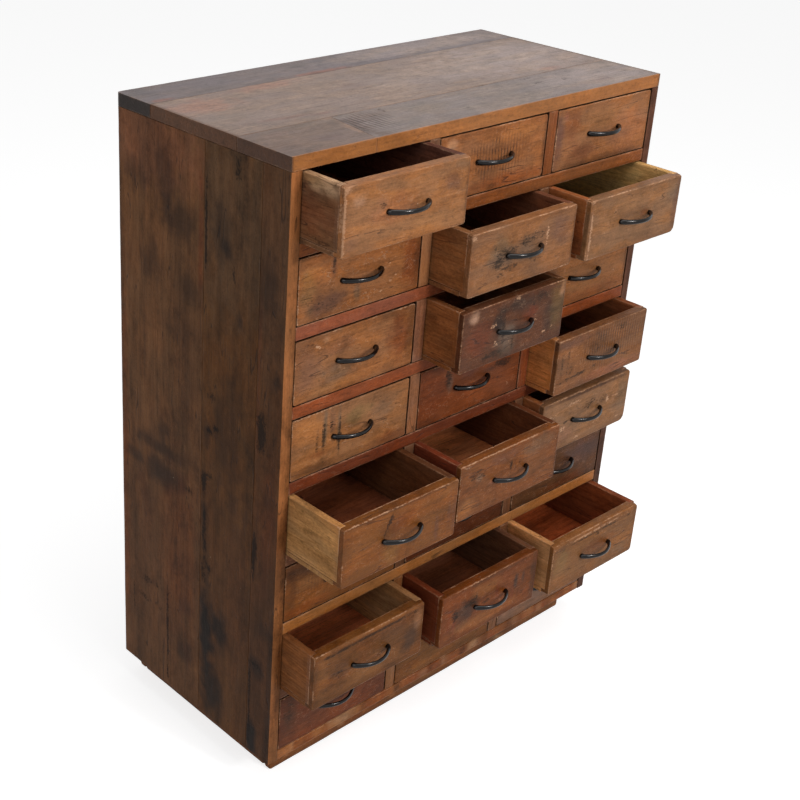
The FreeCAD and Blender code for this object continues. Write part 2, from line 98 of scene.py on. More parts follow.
patchy = {  # a layer shows only where these patterns let it: pattern, levels, and what is left elsewhere
    "mottle": (("blotch", 0.47, 0.6, 0.0), ("drift", 0.42, 0.56, 0.0)),
    "crack": (("cloud", 0.52, 0.6, 0.0),),
    "crinkle": (("drift", 0.62, 0.46, 0.0), ("blotch", 0.46, 0.56, 0.0)),
    "saw": (("blotch", 0.35, 0.58, 0.2),),
    "worn": (("cloud", 0.44, 0.58, 0.15),),
}
ragged = {  # marks listed in the tables: what breaks up their rims, and between which levels they set in
    "dark": ((("grit", 1.7), ("blotch", 1.0), ("fibre", 1.2)), 0.15, 0.8),
    "bare": ((("grit", 2.2),), 0.35, 0.75),
}
layers = {  # what lies over the tone, from the lowest up, and its colour in the look
    # the crinkle layer's pale colour is a painted highlight on the raised wax
    "rings": "shade", "pore": "poreTone", "mottle": "stainTone", "crack": "poreTone", "crinkle": "bareTone",
    "dark": "stainTone", "bare": "bareTone", "saw": "poreTone", "grimeAndShade": "shade", "worn": "bareTone",
    "speck": "speckTone",
}
relief = {  # how far each stands up in the bump, or sinks
    "fibre": 0.35, "pore": -0.5, "saw": -0.9, "blotch": 0.6, "grit": 0.6, "worn": -0.5, "crack": -1.2,
    "crinkle": 1.3,
}
rubbed = {"full": 0.00078, "none": 0.0026, "ragged": 0.008}  # pale wood, metres in from an arris
grimeAndShadeReach = {"full": -0.014, "none": 0.004, "ragged": -0.03}  # grime, and painted shade in the corners where boards meet, the same way
ringLine = {"core": 0.03, "rim": 0.3}
sawLine = {"core": 0.1, "rim": 0.6, "twist": 2.5, "detail": 2.0, "detailScale": 0.5}
wavePitch = 0.314  # metres between the bands of a wave texture at scale 1
speckle = {"cells": 46.0, "core": 0.035, "rim": 0.06, "chosen": 0.01}  # cells in a metre, sizes in cells
turning = (0.38, 0.62)  # levels of the drift between which the wood goes from warm to cool
placedFrom = 0.2  # listed marks are whole from this level on
polish = {"from": 0.3, "to": 0.7, "dull": 0.06, "bright": -0.05, "stained": 0.1}  # what the fibre does to it
seedStep = (3.1, 7.3, 5.7)  # metres of noise from one board to the next
reliefDepth = 0.0012  # metres
smooth = {"interpolation_type": "SMOOTHSTEP"}
fading = {"interpolation_type": "SMOOTHSTEP", 3: 1.0, 4: 0.0}
times = {"operation": "MULTIPLY"}
timesPlus = {"operation": "MULTIPLY_ADD"}
tinted = {"data_type": "RGBA", "blend_type": "MULTIPLY", 0: 1.0}


def makeWood(name, look):
    material, tree = newMaterial(name)
    look = {key: linear(value) if isinstance(value, str) else value for key, value in look.items()}
    inBoard = addNode(tree, "Attribute", {"attribute_name": place}, "Vector")
    halfSize = addNode(tree, "Attribute", {"attribute_name": half}, "Vector")
    number = addNode(tree, "Attribute", {"attribute_name": seed}, "Fac")
    base = addNode(tree, "Attribute", {"attribute_name": paint}, "Color")
    fields = addNode(tree, "Attribute", {"attribute_name": marks}, "Color")
    waxField = fields.node.outputs["Alpha"]
    darkField, bareField, sawField = addNode(tree, "SeparateColor", {0: fields}).node.outputs
    shift = addNode(tree, "VectorMath", {**times, 0: number, 1: seedStep})
    spot = addNode(tree, "VectorMath", {"operation": "ADD", 0: inBoard, 1: shift})

    drawn, swing = {}, {}
    for pattern, (long, wide, detail, rough, twist) in patterns.items():
        size = (1 / (long * mm), 1 / (wide * mm), 1 / (wide * mm))
        scaled = addNode(tree, "VectorMath", {**times, 0: spot, 1: size})
        drawn[pattern] = addNode(tree, "TexNoise", {"Vector": scaled, "Scale": 1.0, "Detail": detail,
                                                    "Roughness": rough, "Distortion": twist})
        swing[pattern] = addNode(tree, "Math", {"operation": "SUBTRACT", 0: drawn[pattern], 1: 0.5})

    # tone: the board's own colour, lighter and darker by five patterns, then warmer and cooler
    tone = look["lift"]
    for pattern in ("band", "cloud", "blotch", "grit", "fibre"):
        tone = addNode(tree, "Math", {**timesPlus, 0: swing[pattern], 1: 2 * look[pattern], 2: tone})
    toned = addNode(tree, "VectorMath", {"operation": "SCALE", 0: base, 3: tone})
    warm = addNode(tree, "Mix", {**tinted, 6: toned, 7: look["warm"]}, 2)
    cool = addNode(tree, "Mix", {**tinted, 6: toned, 7: look["cool"]}, 2)
    drift = addNode(tree, "MapRange", {**smooth, 0: drawn["drift"], 1: turning[0], 2: turning[1]})
    colour = addNode(tree, "Mix", {"data_type": "RGBA", 0: drift, 6: warm, 7: cool}, 2)
    look["shade"] = addNode(tree, "Mix", {**tinted, 6: colour, 7: look["shade"]}, 2)

    # cover of each layer, from 0 to 1
    cover = {}
    for layer, (pattern, start, stop) in spread.items():
        cover[layer] = addNode(tree, "MapRange", {**smooth, 0: drawn[pattern], 1: start, 2: stop})
    for layer, (pattern, core, rim) in hairline.items():
        level = addNode(tree, "Math", {"operation": "ABSOLUTE", 0: swing[pattern]})
        cover[layer] = addNode(tree, "MapRange", {**fading, 0: level, 1: core, 2: rim})
    cover["crinkle"] = addNode(tree, "Math", {**times, 0: cover["crinkle"], 1: waxField})
    for layer, field in (("dark", darkField), ("bare", bareField)):
        weights, start, stop = ragged[layer]
        rim = field
        for pattern, weight in weights:
            rim = addNode(tree, "Math", {**timesPlus, 0: swing[pattern], 1: weight, 2: rim})
        rim = addNode(tree, "MapRange", {**smooth, 0: rim, 1: start, 2: stop})
        inside = addNode(tree, "MapRange", {**smooth, 0: field, 1: 0.0, 2: placedFrom})
        cover[layer] = addNode(tree, "Math", {**times, 0: rim, 1: inside})
    rings = addNode(tree, "Math", {**times, 0: drawn["figure"], 1: look["ringCount"]})
    rings = addNode(tree, "Math", {"operation": "PINGPONG", 0: rings, 1: 0.5})
    cover["rings"] = addNode(tree, "MapRange", {**fading, 0: rings, 1: ringLine["core"], 2: ringLine["rim"]})

    # saw chatter: lines across the grain, as the saw's feed left them
    saw = addNode(tree, "TexWave", {
        "wave_type": "BANDS", "bands_direction": "X", "Vector": spot,
        "Scale": wavePitch / look["sawPitch"], "Distortion": sawLine["twist"],
        "Detail": sawLine["detail"], "Detail Scale": sawLine["detailScale"]}, "Fac")
    saw = addNode(tree, "MapRange", {**fading, 0: saw, 1: sawLine["core"], 2: sawLine["rim"]})
    cover["saw"] = addNode(tree, "Math", {**times, 0: saw, 1: sawField})

    # arris: distance to the board's nearest edge, rubbed pale in patches, with a darker band inside it:
    # grime, and painted shade in the corners where boards meet
    inset = addNode(tree, "VectorMath", {"operation": "ABSOLUTE", 0: inBoard})
    inset = addNode(tree, "VectorMath", {"operation": "SUBTRACT", 0: halfSize, 1: inset})
    along, across, through = addNode(tree, "SeparateXYZ", {0: inset}).node.outputs
    nearest = addNode(tree, "Math", {"operation": "MINIMUM", 0: along, 1: across})
    arris = addNode(tree, "Math", {"operation": "MAXIMUM", 0: along, 1: across})
    arris = addNode(tree, "Math", {"operation": "MINIMUM", 0: arris, 1: through})
    arris = addNode(tree, "Math", {"operation": "MAXIMUM", 0: nearest, 1: arris})
    grimeAndShade = addNode(tree, "Math", {**timesPlus, 0: drawn["blotch"], 1: grimeAndShadeReach["ragged"], 2: arris})
    cover["grimeAndShade"] = addNode(tree, "MapRange", {**fading, 0: grimeAndShade, 1: grimeAndShadeReach["full"], 2: grimeAndShadeReach["none"]})
    worn = addNode(tree, "Math", {**timesPlus, 0: swing["grit"], 1: rubbed["ragged"], 2: arris})
    cover["worn"] = addNode(tree, "MapRange", {**fading, 0: worn, 1: rubbed["full"], 2: rubbed["none"]})

    # stray specks of old whitewash, 1 to 2 mm
    distance = addNode(tree, "TexVoronoi", {"Vector": spot, "Scale": speckle["cells"]}, "Distance")
    chosen = addNode(tree, "SeparateColor", {0: distance.node.outputs["Color"]})
    chosen = addNode(tree, "MapRange", {0: chosen, 1: look["speckFree"],
                                        2: look["speckFree"] + speckle["chosen"]})
    speck = addNode(tree, "MapRange", {**fading, 0: distance, 1: speckle["core"], 2: speckle["rim"]})
    cover["speck"] = addNode(tree, "Math", {**times, 0: speck, 1: chosen})

    for layer, gates in patchy.items():
        for pattern, start, stop, least in gates:
            gate = addNode(tree, "MapRange", {**smooth, 0: drawn[pattern], 1: start, 2: stop, 3: least})
            cover[layer] = addNode(tree, "Math", {**times, 0: cover[layer], 1: gate})
    for layer, over in layers.items():
        weighed = addNode(tree, "Math", {**times, 0: cover[layer], 1: look[layer]})
        colour = addNode(tree, "Mix", {"data_type": "RGBA", 0: weighed, 6: colour, 7: look[over]}, 2)

    rough = addNode(tree, "MapRange", {
        0: drawn["fibre"], 1: polish["from"], 2: polish["to"],
        3: look["rough"] + polish["dull"], 4: look["rough"] + polish["bright"]})
    rough = addNode(tree, "Math", {**timesPlus, 0: cover["dark"], 1: polish["stained"], 2: rough})
    height = 0.0
    for layer, weight in relief.items():
        height = addNode(tree, "Math", {**timesPlus, 0: {**drawn, **cover}[layer], 1: weight, 2: height})
    bump = addNode(tree, "Bump", {"Height": height, "Strength": look["bump"], "Distance": reliefDepth})
    shader = addNode(tree, "BsdfPrincipled", {"Base Color": colour, "Roughness": rough, "Normal": bump,
                                              "IOR": look["ior"], "Specular IOR Level": look["shine"]})
    addNode(tree, "OutputMaterial", {0: shader})
    return material


teak = {  # lift, then how far five patterns swing the tone; rings to speck are the cover of each layer
    "lift": 1.06, "band": 0.12, "cloud": 0.5, "blotch": 0.5, "grit": 0.45, "fibre": 0.32,
    "rings": 0.3, "pore": 0.25, "mottle": 0.4, "crack": 0.6, "crinkle": 0.45, "dark": 0.85, "bare": 0.75,
    "saw": 0.65, "grimeAndShade": 0.4, "worn": 0.6, "speck": 0.5,
    "ringCount": 8.0, "sawPitch": 0.008, "speckFree": 0.93,
    "warm": "fff4e0", "cool": "f1f4fb", "shade": "d4cbc5", "poreTone": "33201a", "stainTone": "231a13",
    "bareTone": "c49877", "speckTone": "c9b09a", "rough": 0.48, "bump": 0.7, "ior": 1.48, "shine": 0.14,
}
materials = {
    # old teak, planed and rubbed with wax: satin, the grain open, edges rubbed back to bare wood
    "frontWood": makeWood("waxed_old_teak", teak),
    # the same under years of use: greyer and shinier, with a painted sheen in its planks' colour towards the
    # right
    "topWood": makeWood("sheened_old_teak", {
        **teak, "cloud": 0.35, "fibre": 0.26, "rings": 0.2, "crack": 0.3, "crinkle": 0.1, "saw": 0.9,
        "grimeAndShade": 0.15, "worn": 0.15, "sawPitch": 0.01, "warm": "fffaf4", "cool": "fafaff", "rough": 0.46,
        "bump": 0.4, "shine": 0.25}),
    # side panels under a dark oil stain, so every pattern is quieter but the stripes and clouds
    "sideWood": makeWood("dark_oiled_teak", {
        **teak, "band": 0.8, "cloud": 0.6, "blotch": 0.55, "grit": 0.4, "fibre": 0.2, "pore": 0.12,
        "crinkle": 0.05, "grimeAndShade": 0.0, "worn": 0.1, "speckFree": 0.985, "warm": "fffaf5", "cool": "fbfdff",
        "poreTone": "1c1411", "stainTone": "15100d", "bareTone": "8a6244", "bump": 0.4, "shine": 0.08}),
    # edges of the frame: orange heartwood
    "edgeWood": makeWood("orange_heart_teak", {**teak, "cloud": 0.4, "rings": 0.2, "worn": 0.35}),
    # drawer boxes: sawn and left nearly bare, so dull
    "boxWood": makeWood("sawn_teak", {
        **teak, "fibre": 0.5, "rings": 0.5, "crinkle": 0.1, "grimeAndShade": 0.2, "worn": 0.3, "speckFree": 0.98,
        "warm": "fffaf2", "rough": 0.62, "shine": 0.05}),
}
print("wood ready:", len(materials), "kinds")


blackened = {  # waves of 11 mm and grit of 1 mm
    "waves": 90.0, "grit": 900.0, "tones": ("201f1e", "302e2e"), "rough": (0.11, 0.19), "metallic": 0.85,
    "bump": 0.25, "relief": 0.0006,
}


def makeIron():
    # mild steel bow, hot forged and blackened in oil: a dark satin skin with soft hammer waves
    material, tree = newMaterial("oil_blackened_iron")
    spot = addNode(tree, "TexCoord", {}, "Object")
    waves = addNode(tree, "TexNoise", {"Vector": spot, "Scale": blackened["waves"], "Detail": 2.0})
    grit = addNode(tree, "TexNoise", {"Vector": spot, "Scale": blackened["grit"], "Detail": 3.0})
    dark, light = (linear(tone) for tone in blackened["tones"])
    tone = addNode(tree, "Mix", {"data_type": "RGBA", 0: waves, 6: dark, 7: light}, 2)
    rough = addNode(tree, "MapRange", {0: grit, 3: blackened["rough"][0], 4: blackened["rough"][1]})
    bump = addNode(tree, "Bump", {"Height": waves, "Strength": blackened["bump"],
                                  "Distance": blackened["relief"]})
    shader = addNode(tree, "BsdfPrincipled", {"Base Color": tone, "Metallic": blackened["metallic"],
                                              "Roughness": rough, "Normal": bump})
    addNode(tree, "OutputMaterial", {0: shader})
    return material


iron = makeIron()

# boards

stains = {  # what time has left on the wood, and the pale grey of a painted sheen on the top
    "pitch": "1c1512", "soot": "2b2421", "plum": "5a403b", "rust": "6e3219", "honey": "a8703f",
    "olive": "736038", "pale": "bd9173", "umber": "4a2e1d", "haze": "94837b", "ember": "8f4b24",
    "grey": "6a5a4a", "rose": "9c624a", "straw": "c29a74",
}
fieldOf = {"dark": 0, "bare": 1, "saw": 2, "crackle": 3}  # kept in the marks, other patches in the paint
patch = {
    "least": 7,  # mm, a narrower patch would fall between the vertices
    "waves": (0.045, 0.13),  # per mm, how its rim wanders
    "wander": 0.45, "reach": 1.35,  # in half sizes of the patch
    "crackle": 0.35,  # wax where no patch says more
}
wear = {  # mm, all inwards; smoothBelow in degrees
    "swell": 0.5, "swellSize": 90, "dent": 0.5, "drawerDent": 0.45, "dentSize": 16, "smoothBelow": 40,
}


def selectNothing():
    if bpy.context.object and bpy.context.object.mode != "OBJECT":
        bpy.ops.object.mode_set(mode="OBJECT")
    bpy.ops.object.select_all(action="DESELECT")


def selectOnly(piece):
    selectNothing()
    piece.select_set(True)
    bpy.context.view_layer.objects.active = piece


def joinInto(boards):
    selectNothing()
    for board in boards:
        board.select_set(True)
    bpy.context.view_layer.objects.active = boards[0]
    bpy.ops.object.join()
    return boards[0]


def cutBoard(name, low, high, cell, arris, sharp=None):
    # sharp: axis and end (0 low, 1 high) of a face that meets another board, whose edges keep no arris
    low, high = Vector(low), Vector(high)
    size = high - low
    selectNothing()
    bpy.ops.mesh.primitive_cube_add(size=1, location=(low + high) / 2, scale=size)
    board = bpy.context.object
    board.name = name
    bpy.ops.object.transform_apply(location=True, rotation=True, scale=True)
    bpy.ops.object.mode_set(mode="EDIT")
    bpy.ops.mesh.select_mode(type="EDGE")
    for axis in range(3):
        cuts = round(size[axis] / cell) - 1
        if cuts > 0:
            mesh = bmesh.from_edit_mesh(board.data)
            for edge in mesh.edges:
                run = edge.verts[1].co - edge.verts[0].co
                edge.select_set(abs(run[axis]) > 0.5 * run.length)
            bmesh.update_edit_mesh(board.data)
            bpy.ops.mesh.subdivide(number_cuts=cuts)
    mesh = bmesh.from_edit_mesh(board.data)
    bpy.ops.mesh.select_all(action="DESELECT")
    for edge in mesh.edges:
        faces = set()  # of the board, that this edge lies in
        for axis in range(3):
            ends = {round((v.co[axis] - low[axis]) / size[axis], 4) for v in edge.verts}
            if ends in ({0.0}, {1.0}):
                faces.add((axis, ends.pop()))
        edge.select_set(len(faces) > 1 and sharp not in faces)
    bmesh.update_edit_mesh(board.data)
    bpy.ops.mesh.bevel(offset=arris, segments=2, affect="EDGES")
    bpy.ops.object.mode_set(mode="OBJECT")
    return board


def applyAll(piece):
    selectOnly(piece)
    for modifier in list(piece.modifiers):
        bpy.ops.object.modifier_apply(modifier=modifier.name)


swellNoise = bpy.data.textures.new("swell", "CLOUDS")
swellNoise.noise_scale = wear["swellSize"] * mm
dentNoise = bpy.data.textures.new("dents", "CLOUDS")
dentNoise.noise_scale = wear["dentSize"] * mm
dentNoise.noise_depth = 2


def weather(piece, dent):
    for texture, depth in ((swellNoise, wear["swell"]), (dentNoise, dent)):
        modifier = piece.modifiers.new(texture.name, "DISPLACE")
        modifier.texture = texture
        modifier.texture_coords = "LOCAL"
        modifier.mid_level = 1.0
        modifier.strength = depth * mm
    applyAll(piece)
    bpy.ops.object.shade_smooth_by_angle(angle=math.radians(wear["smoothBelow"]))


def take(mesh, name):
    flat = np.empty(len(mesh.vertices) * 3, np.float32)
    mesh.attributes[name].data.foreach_get("vector", flat)
    return flat.reshape(-1, 3)


def put(mesh, name, kind, values):
    layer = mesh.attributes.get(name) or mesh.attributes.new(name, kind, "POINT")
    key = {"FLOAT": "value", "FLOAT_VECTOR": "vector", "FLOAT_COLOR": "color"}[kind]
    layer.data.foreach_set(key, np.ascontiguousarray(values, np.float32).ravel())


def points(mesh):
    return take(mesh, "position").astype(float) / mm


def movePoints(mesh, spots):
    mesh.vertices.foreach_set("co", (spots * mm).astype(np.float32).ravel())
    mesh.update()


def layGrain(board, low, high, grain):
    # along the grain first, then across, then through the board
    size = [high[i] - low[i] for i in range(3)]
    others = sorted((i for i in range(3) if i != grain), key=lambda i: -size[i])
    order = [grain] + others
    spots = points(board.data)
    middle = np.array([(low[i] + high[i]) / 2 for i in range(3)])
    put(board.data, place, "FLOAT_VECTOR", (spots - middle)[:, order] * mm)
    put(board.data, half, "FLOAT_VECTOR", np.tile([size[i] / 2 * mm for i in order], (len(spots), 1)))


def wobble(spots, scale, salt):
    return np.array([noise.noise(Vector(p) * scale + Vector((salt, 0, 0))) for p in spots])


def colourBoard(spots, tone, patches, salt):
    # spots are in mm from the board's lower left corner, along and across
    colours = np.tile(linear(tone), (len(spots), 1))
    fields = np.zeros((len(spots), 4))
    fields[:, fieldOf["crackle"]] = patch["crackle"]
    if not patches:
        return colours, fields
    flat = np.c_[spots, np.zeros(len(spots))]
    slow, fast = patch["waves"]
    rim = wobble(flat, slow, salt) + 0.5 * wobble(flat, fast, salt + 9)
    for kind, along, across, long, wide, strength, *turn in patches:
        angle = math.radians(turn[0] if turn else 0)
        long, wide = max(long, patch["least"]), max(wide, patch["least"])
        dx, dy = spots[:, 0] - along, spots[:, 1] - across
        u = (dx * math.cos(angle) + dy * math.sin(angle)) / (long / 2)
        v = (dy * math.cos(angle) - dx * math.sin(angle)) / (wide / 2)
        reach = np.clip(patch["reach"] - np.hypot(u, v) + patch["wander"] * rim, 0, 1)
        reach = reach * reach * (3 - 2 * reach) * strength
        if kind in fieldOf:
            fields[:, fieldOf[kind]] = np.maximum(fields[:, fieldOf[kind]], reach)
        else:
            colours += (np.array(linear(stains[kind])) - colours) * reach[:, None]
    return colours, fields


def slantEdges(spots, axis, low, high, newLow, newHigh, run):
    # a board's two long edges, at low and high on the axis, get a new place at each end of the run
    runAxis, start, stop = run
    t = (spots[:, axis] - low) / (high - low)
    along = (spots[:, runAxis] - start) / (stop - start)
    lowEdge = newLow[0] + (newLow[1] - newLow[0]) * along
    highEdge = newHigh[0] + (newHigh[1] - newHigh[0]) * along
    spots[:, axis] = lowEdge + (highEdge - lowEdge) * t


def roundCorner(spots, axes, corner, outward, radius, chosen=True):
    # a corner worn round: what lies beyond the middle of its arc comes in to the arc
    over = [(spots[:, axis] - corner[n]) * outward[n] + radius for n, axis in enumerate(axes)]
    near = chosen & (over[0] > 0) & (over[1] > 0)
    keep = np.maximum(*over)[near] / np.hypot(*over)[near]
    for n, axis in enumerate(axes):
        spots[near, axis] = corner[n] + outward[n] * (over[n][near] * keep - radius)


# carcass

chest = {  # mm
    "left": -475, "right": 475, "front": -230, "back": 230, "bottom": 58, "top": 1240,
    "topThickness": 25, "leftThickness": 23, "rightThickness": 20, "bottomThickness": 22, "backThickness": 12,
    "opening": (285, 120), "upright": 26, "rail": 25, "railDepth": 45, "dust": 12, "backBoards": 5,
}
left, right, front, back, top = (chest[k] for k in ("left", "right", "front", "back", "top"))
innerLeft = left + chest["leftThickness"]
innerRight = right - chest["rightThickness"]
underTop = top - chest["topThickness"]
bodyBack = back - chest["backThickness"]
rowPitch = chest["opening"][1] + chest["rail"]
columnPitch = chest["opening"][0] + chest["upright"]
firstFloor = chest["bottom"] + chest["bottomThickness"]
rearRadius = 7  # of the two rear corners
skin = 0.3  # mm, what lies within this of a face belongs to it
frameTones = {
    "bottom": "83491f", "dust": "5a3a28", "backs": "5f4331", "plinth": "7c4c26", "blocks": "6a4a34",
    "inside": "3e2b1f", "gap": "2e1d14",  # inside: painted shade on the panels' inner faces; gap: painted shade on the faces that line the gaps round the drawers
}
boardNumber = {  # a board's number picks its piece of the noise
    "top": 1, "left": 10, "right": 15, "bottom": 20, "rails": 30, "uprights": 40, "dust": 70, "backs": 80,
    "plinth": 90, "blocks": 95, "bearer": 99, "drawers": 100,
}


def rowFloor(row):
    return firstFloor + (8 - row) * rowPitch


def carcassBoard(name, low, high, grain, tone, wood, number, cell=5.5, arris=1.0, slant=None, corner=None,
                 sharp=None, patches=(), ends=()):
    # ends: faces of another colour than the rest, each as axis, low or high, tone
    board = cutBoard(name, [v * mm for v in low], [v * mm for v in high], cell * mm, arris * mm, sharp)
    spots = points(board.data)
    if slant:
        slantEdges(spots, *slant)
    if corner:
        roundCorner(spots, (0, 1), corner, np.sign(corner), rearRadius)
    movePoints(board.data, spots)
    layGrain(board, low, high, grain)
    put(board.data, seed, "FLOAT", np.full(len(spots), number))
    onBoard = take(board.data, place) + take(board.data, half)
    colours, fields = colourBoard(onBoard[:, :2] / mm, tone, patches, number)
    for axis, side, endTone in ends:
        near = spots[:, axis] < low[axis] + skin if side == "low" else spots[:, axis] > high[axis] - skin
        colours[near] = linear(endTone)
    put(board.data, paint, "FLOAT_COLOR", colours)
    put(board.data, marks, "FLOAT_COLOR", fields)
    weather(board, wear["dent"])
    board.data.materials.append(materials[wood])
    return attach(board, "carcass")


def joined(boards, name):
    board = joinInto(boards)
    board.name = name
    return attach(board, "carcass")


seam = {"front": 133, "rearLeft": 98, "rearRight": 90, "buttFront": 182, "buttBack": 204}
frontSeam = front + seam["front"]
rearSeam = (back - seam["rearLeft"], back - seam["rearRight"])  # its left and right end
butt = (left + seam["buttFront"], left + seam["buttBack"])  # its front and rear end
frontEdge = (1, "low", "9a6232")
leftEnd = (0, "low", "5c3b24")
rightEnd = (0, "high", "5c4230")
rearEdge = (1, "high", "4a352a")
topStains = {  # mm along and across the plank, long, wide, strength, turn in degrees
    # the pale grey patches towards the right end of the planks are a painted sheen, where light glances off
    # the top
    "top_rear_board": (
        ("soot", 50, 44, 16, 8, 0.5), ("soot", 120, 46, 50, 12, 0.35), ("soot", 160, 48, 16, 8, 0.5),
        ("soot", 200, 54, 30, 6, 0.4, 50), ("soot", 390, 64, 60, 14, 0.45), ("soot", 435, 50, 18, 12, 0.5),
        ("ember", 400, 10, 180, 16, 0.5), ("ember", 30, 10, 60, 14, 0.4), ("soot", 160, 20, 120, 20, 0.3),
        ("soot", 776, 70, 24, 14, 0.5, 20), ("plum", 560, 20, 260, 24, 0.15), ("soot", 660, 16, 40, 8, 0.3),
        ("haze", 720, 60, 520, 90, 0.6), ("soot", 30, 70, 60, 60, 0.3)),
    "top_middle_board": (
        ("rust", 140, 36, 160, 14, 0.35, -6), ("rust", 210, 24, 60, 10, 0.35),
        ("umber", 240, 60, 60, 7, 0.45), ("grey", 60, 90, 120, 40, 0.3), ("rose", 60, 170, 140, 80, 0.35),
        ("rose", 240, 215, 160, 40, 0.3), ("plum", 380, 130, 60, 50, 0.3),
        ("umber", 78, 165, 12, 40, 0.3, 60), ("umber", 60, 130, 6, 24, 0.35, 60),
        ("umber", 205, 196, 22, 20, 0.3), ("haze", 560, 110, 300, 120, 0.4),
        ("haze", 800, 120, 380, 240, 0.7), ("soot", 635, 130, 14, 10, 0.4, 45),
        ("soot", 865, 234, 30, 8, 0.5), ("umber", 300, 235, 580, 6, 0.4), ("dark", 575, 1, 40, 5, 0.7),
        ("rose", 800, 16, 60, 24, 0.3)),
    "top_front_left_board": (
        ("umber", 40, 40, 90, 80, 0.3), ("plum", 118, 46, 60, 30, 0.4), ("soot", 44, 12, 22, 8, 0.5, 30),
        ("soot", 92, 106, 12, 6, 0.5, 40), ("plum", 70, 108, 60, 20, 0.3), ("soot", 12, 76, 12, 8, 0.4),
        ("grey", 120, 120, 160, 24, 0.3), ("soot", 148, 48, 8, 10, 0.3)),
    "top_front_right_board": (
        ("umber", 20, 60, 44, 130, 0.55), ("saw", 52, 80, 110, 110, 1.0, 8),
        ("dark", 18, 60, 12, 120, 0.45, -4), ("umber", 70, 100, 120, 50, 0.4),
        ("dark", 122, 116, 12, 22, 0.5), ("grey", 200, 90, 120, 60, 0.3), ("umber", 190, 30, 60, 40, 0.25),
        ("dark", 262, 44, 16, 8, 0.4, 40), ("dark", 394, 132, 44, 8, 0.7), ("dark", 508, 122, 44, 10, 0.35),
        ("dark", 510, 90, 30, 9, 0.6), ("dark", 580, 80, 34, 10, 0.4), ("dark", 448, 24, 18, 8, 0.5),
        ("dark", 500, 18, 22, 7, 0.35), ("haze", 660, 60, 320, 140, 0.6), ("plum", 640, 38, 60, 26, 0.4),
        ("plum", 566, 30, 120, 40, 0.2)),
}
topPlanks = {
    "top_rear_board": {
        "box": ((left, rearSeam[0]), (right, back)), "tone": "625655", "arris": 0.4, "corner": (left, back),
        "slant": (1, rearSeam[0], back, rearSeam, (back, back), (0, left, right)),
        "ends": ((0, "low", "261b16"), rearEdge, rightEnd)},
    "top_middle_board": {
        "box": ((left, frontSeam), (right, rearSeam[1])), "tone": "7c685c", "arris": 0.3,
        "slant": (1, frontSeam, rearSeam[1], (frontSeam, frontSeam), rearSeam, (0, left, right)),
        "ends": (leftEnd, rightEnd)},
    "top_front_left_board": {
        "box": ((left, front), (butt[0], frontSeam)), "tone": "655146", "arris": 0.3, "sharp": (0, 1),
        "slant": (0, left, butt[0], (left, left), butt, (1, front, frontSeam)),
        "ends": (frontEdge, (0, "low", "4c3120"))},
    "top_front_right_board": {
        "box": ((butt[0], front), (right, frontSeam)), "tone": "74665f", "arris": 0.3, "sharp": (0, 0),
        "slant": (0, butt[0], right, butt, (right, right), (1, front, frontSeam)),
        "ends": (frontEdge, rightEnd)},
}
for number, (name, plank) in enumerate(topPlanks.items()):
    low, high = plank.pop("box")
    board = carcassBoard(name, (*low, underTop), (*high, top), 0, plank.pop("tone"), "topWood",
                         boardNumber["top"] + number, patches=topStains[name], **plank)
    if name == "top_rear_board":
        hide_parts("top_rear_plank")
    if name == "top_middle_board":
        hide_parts("top_planks")

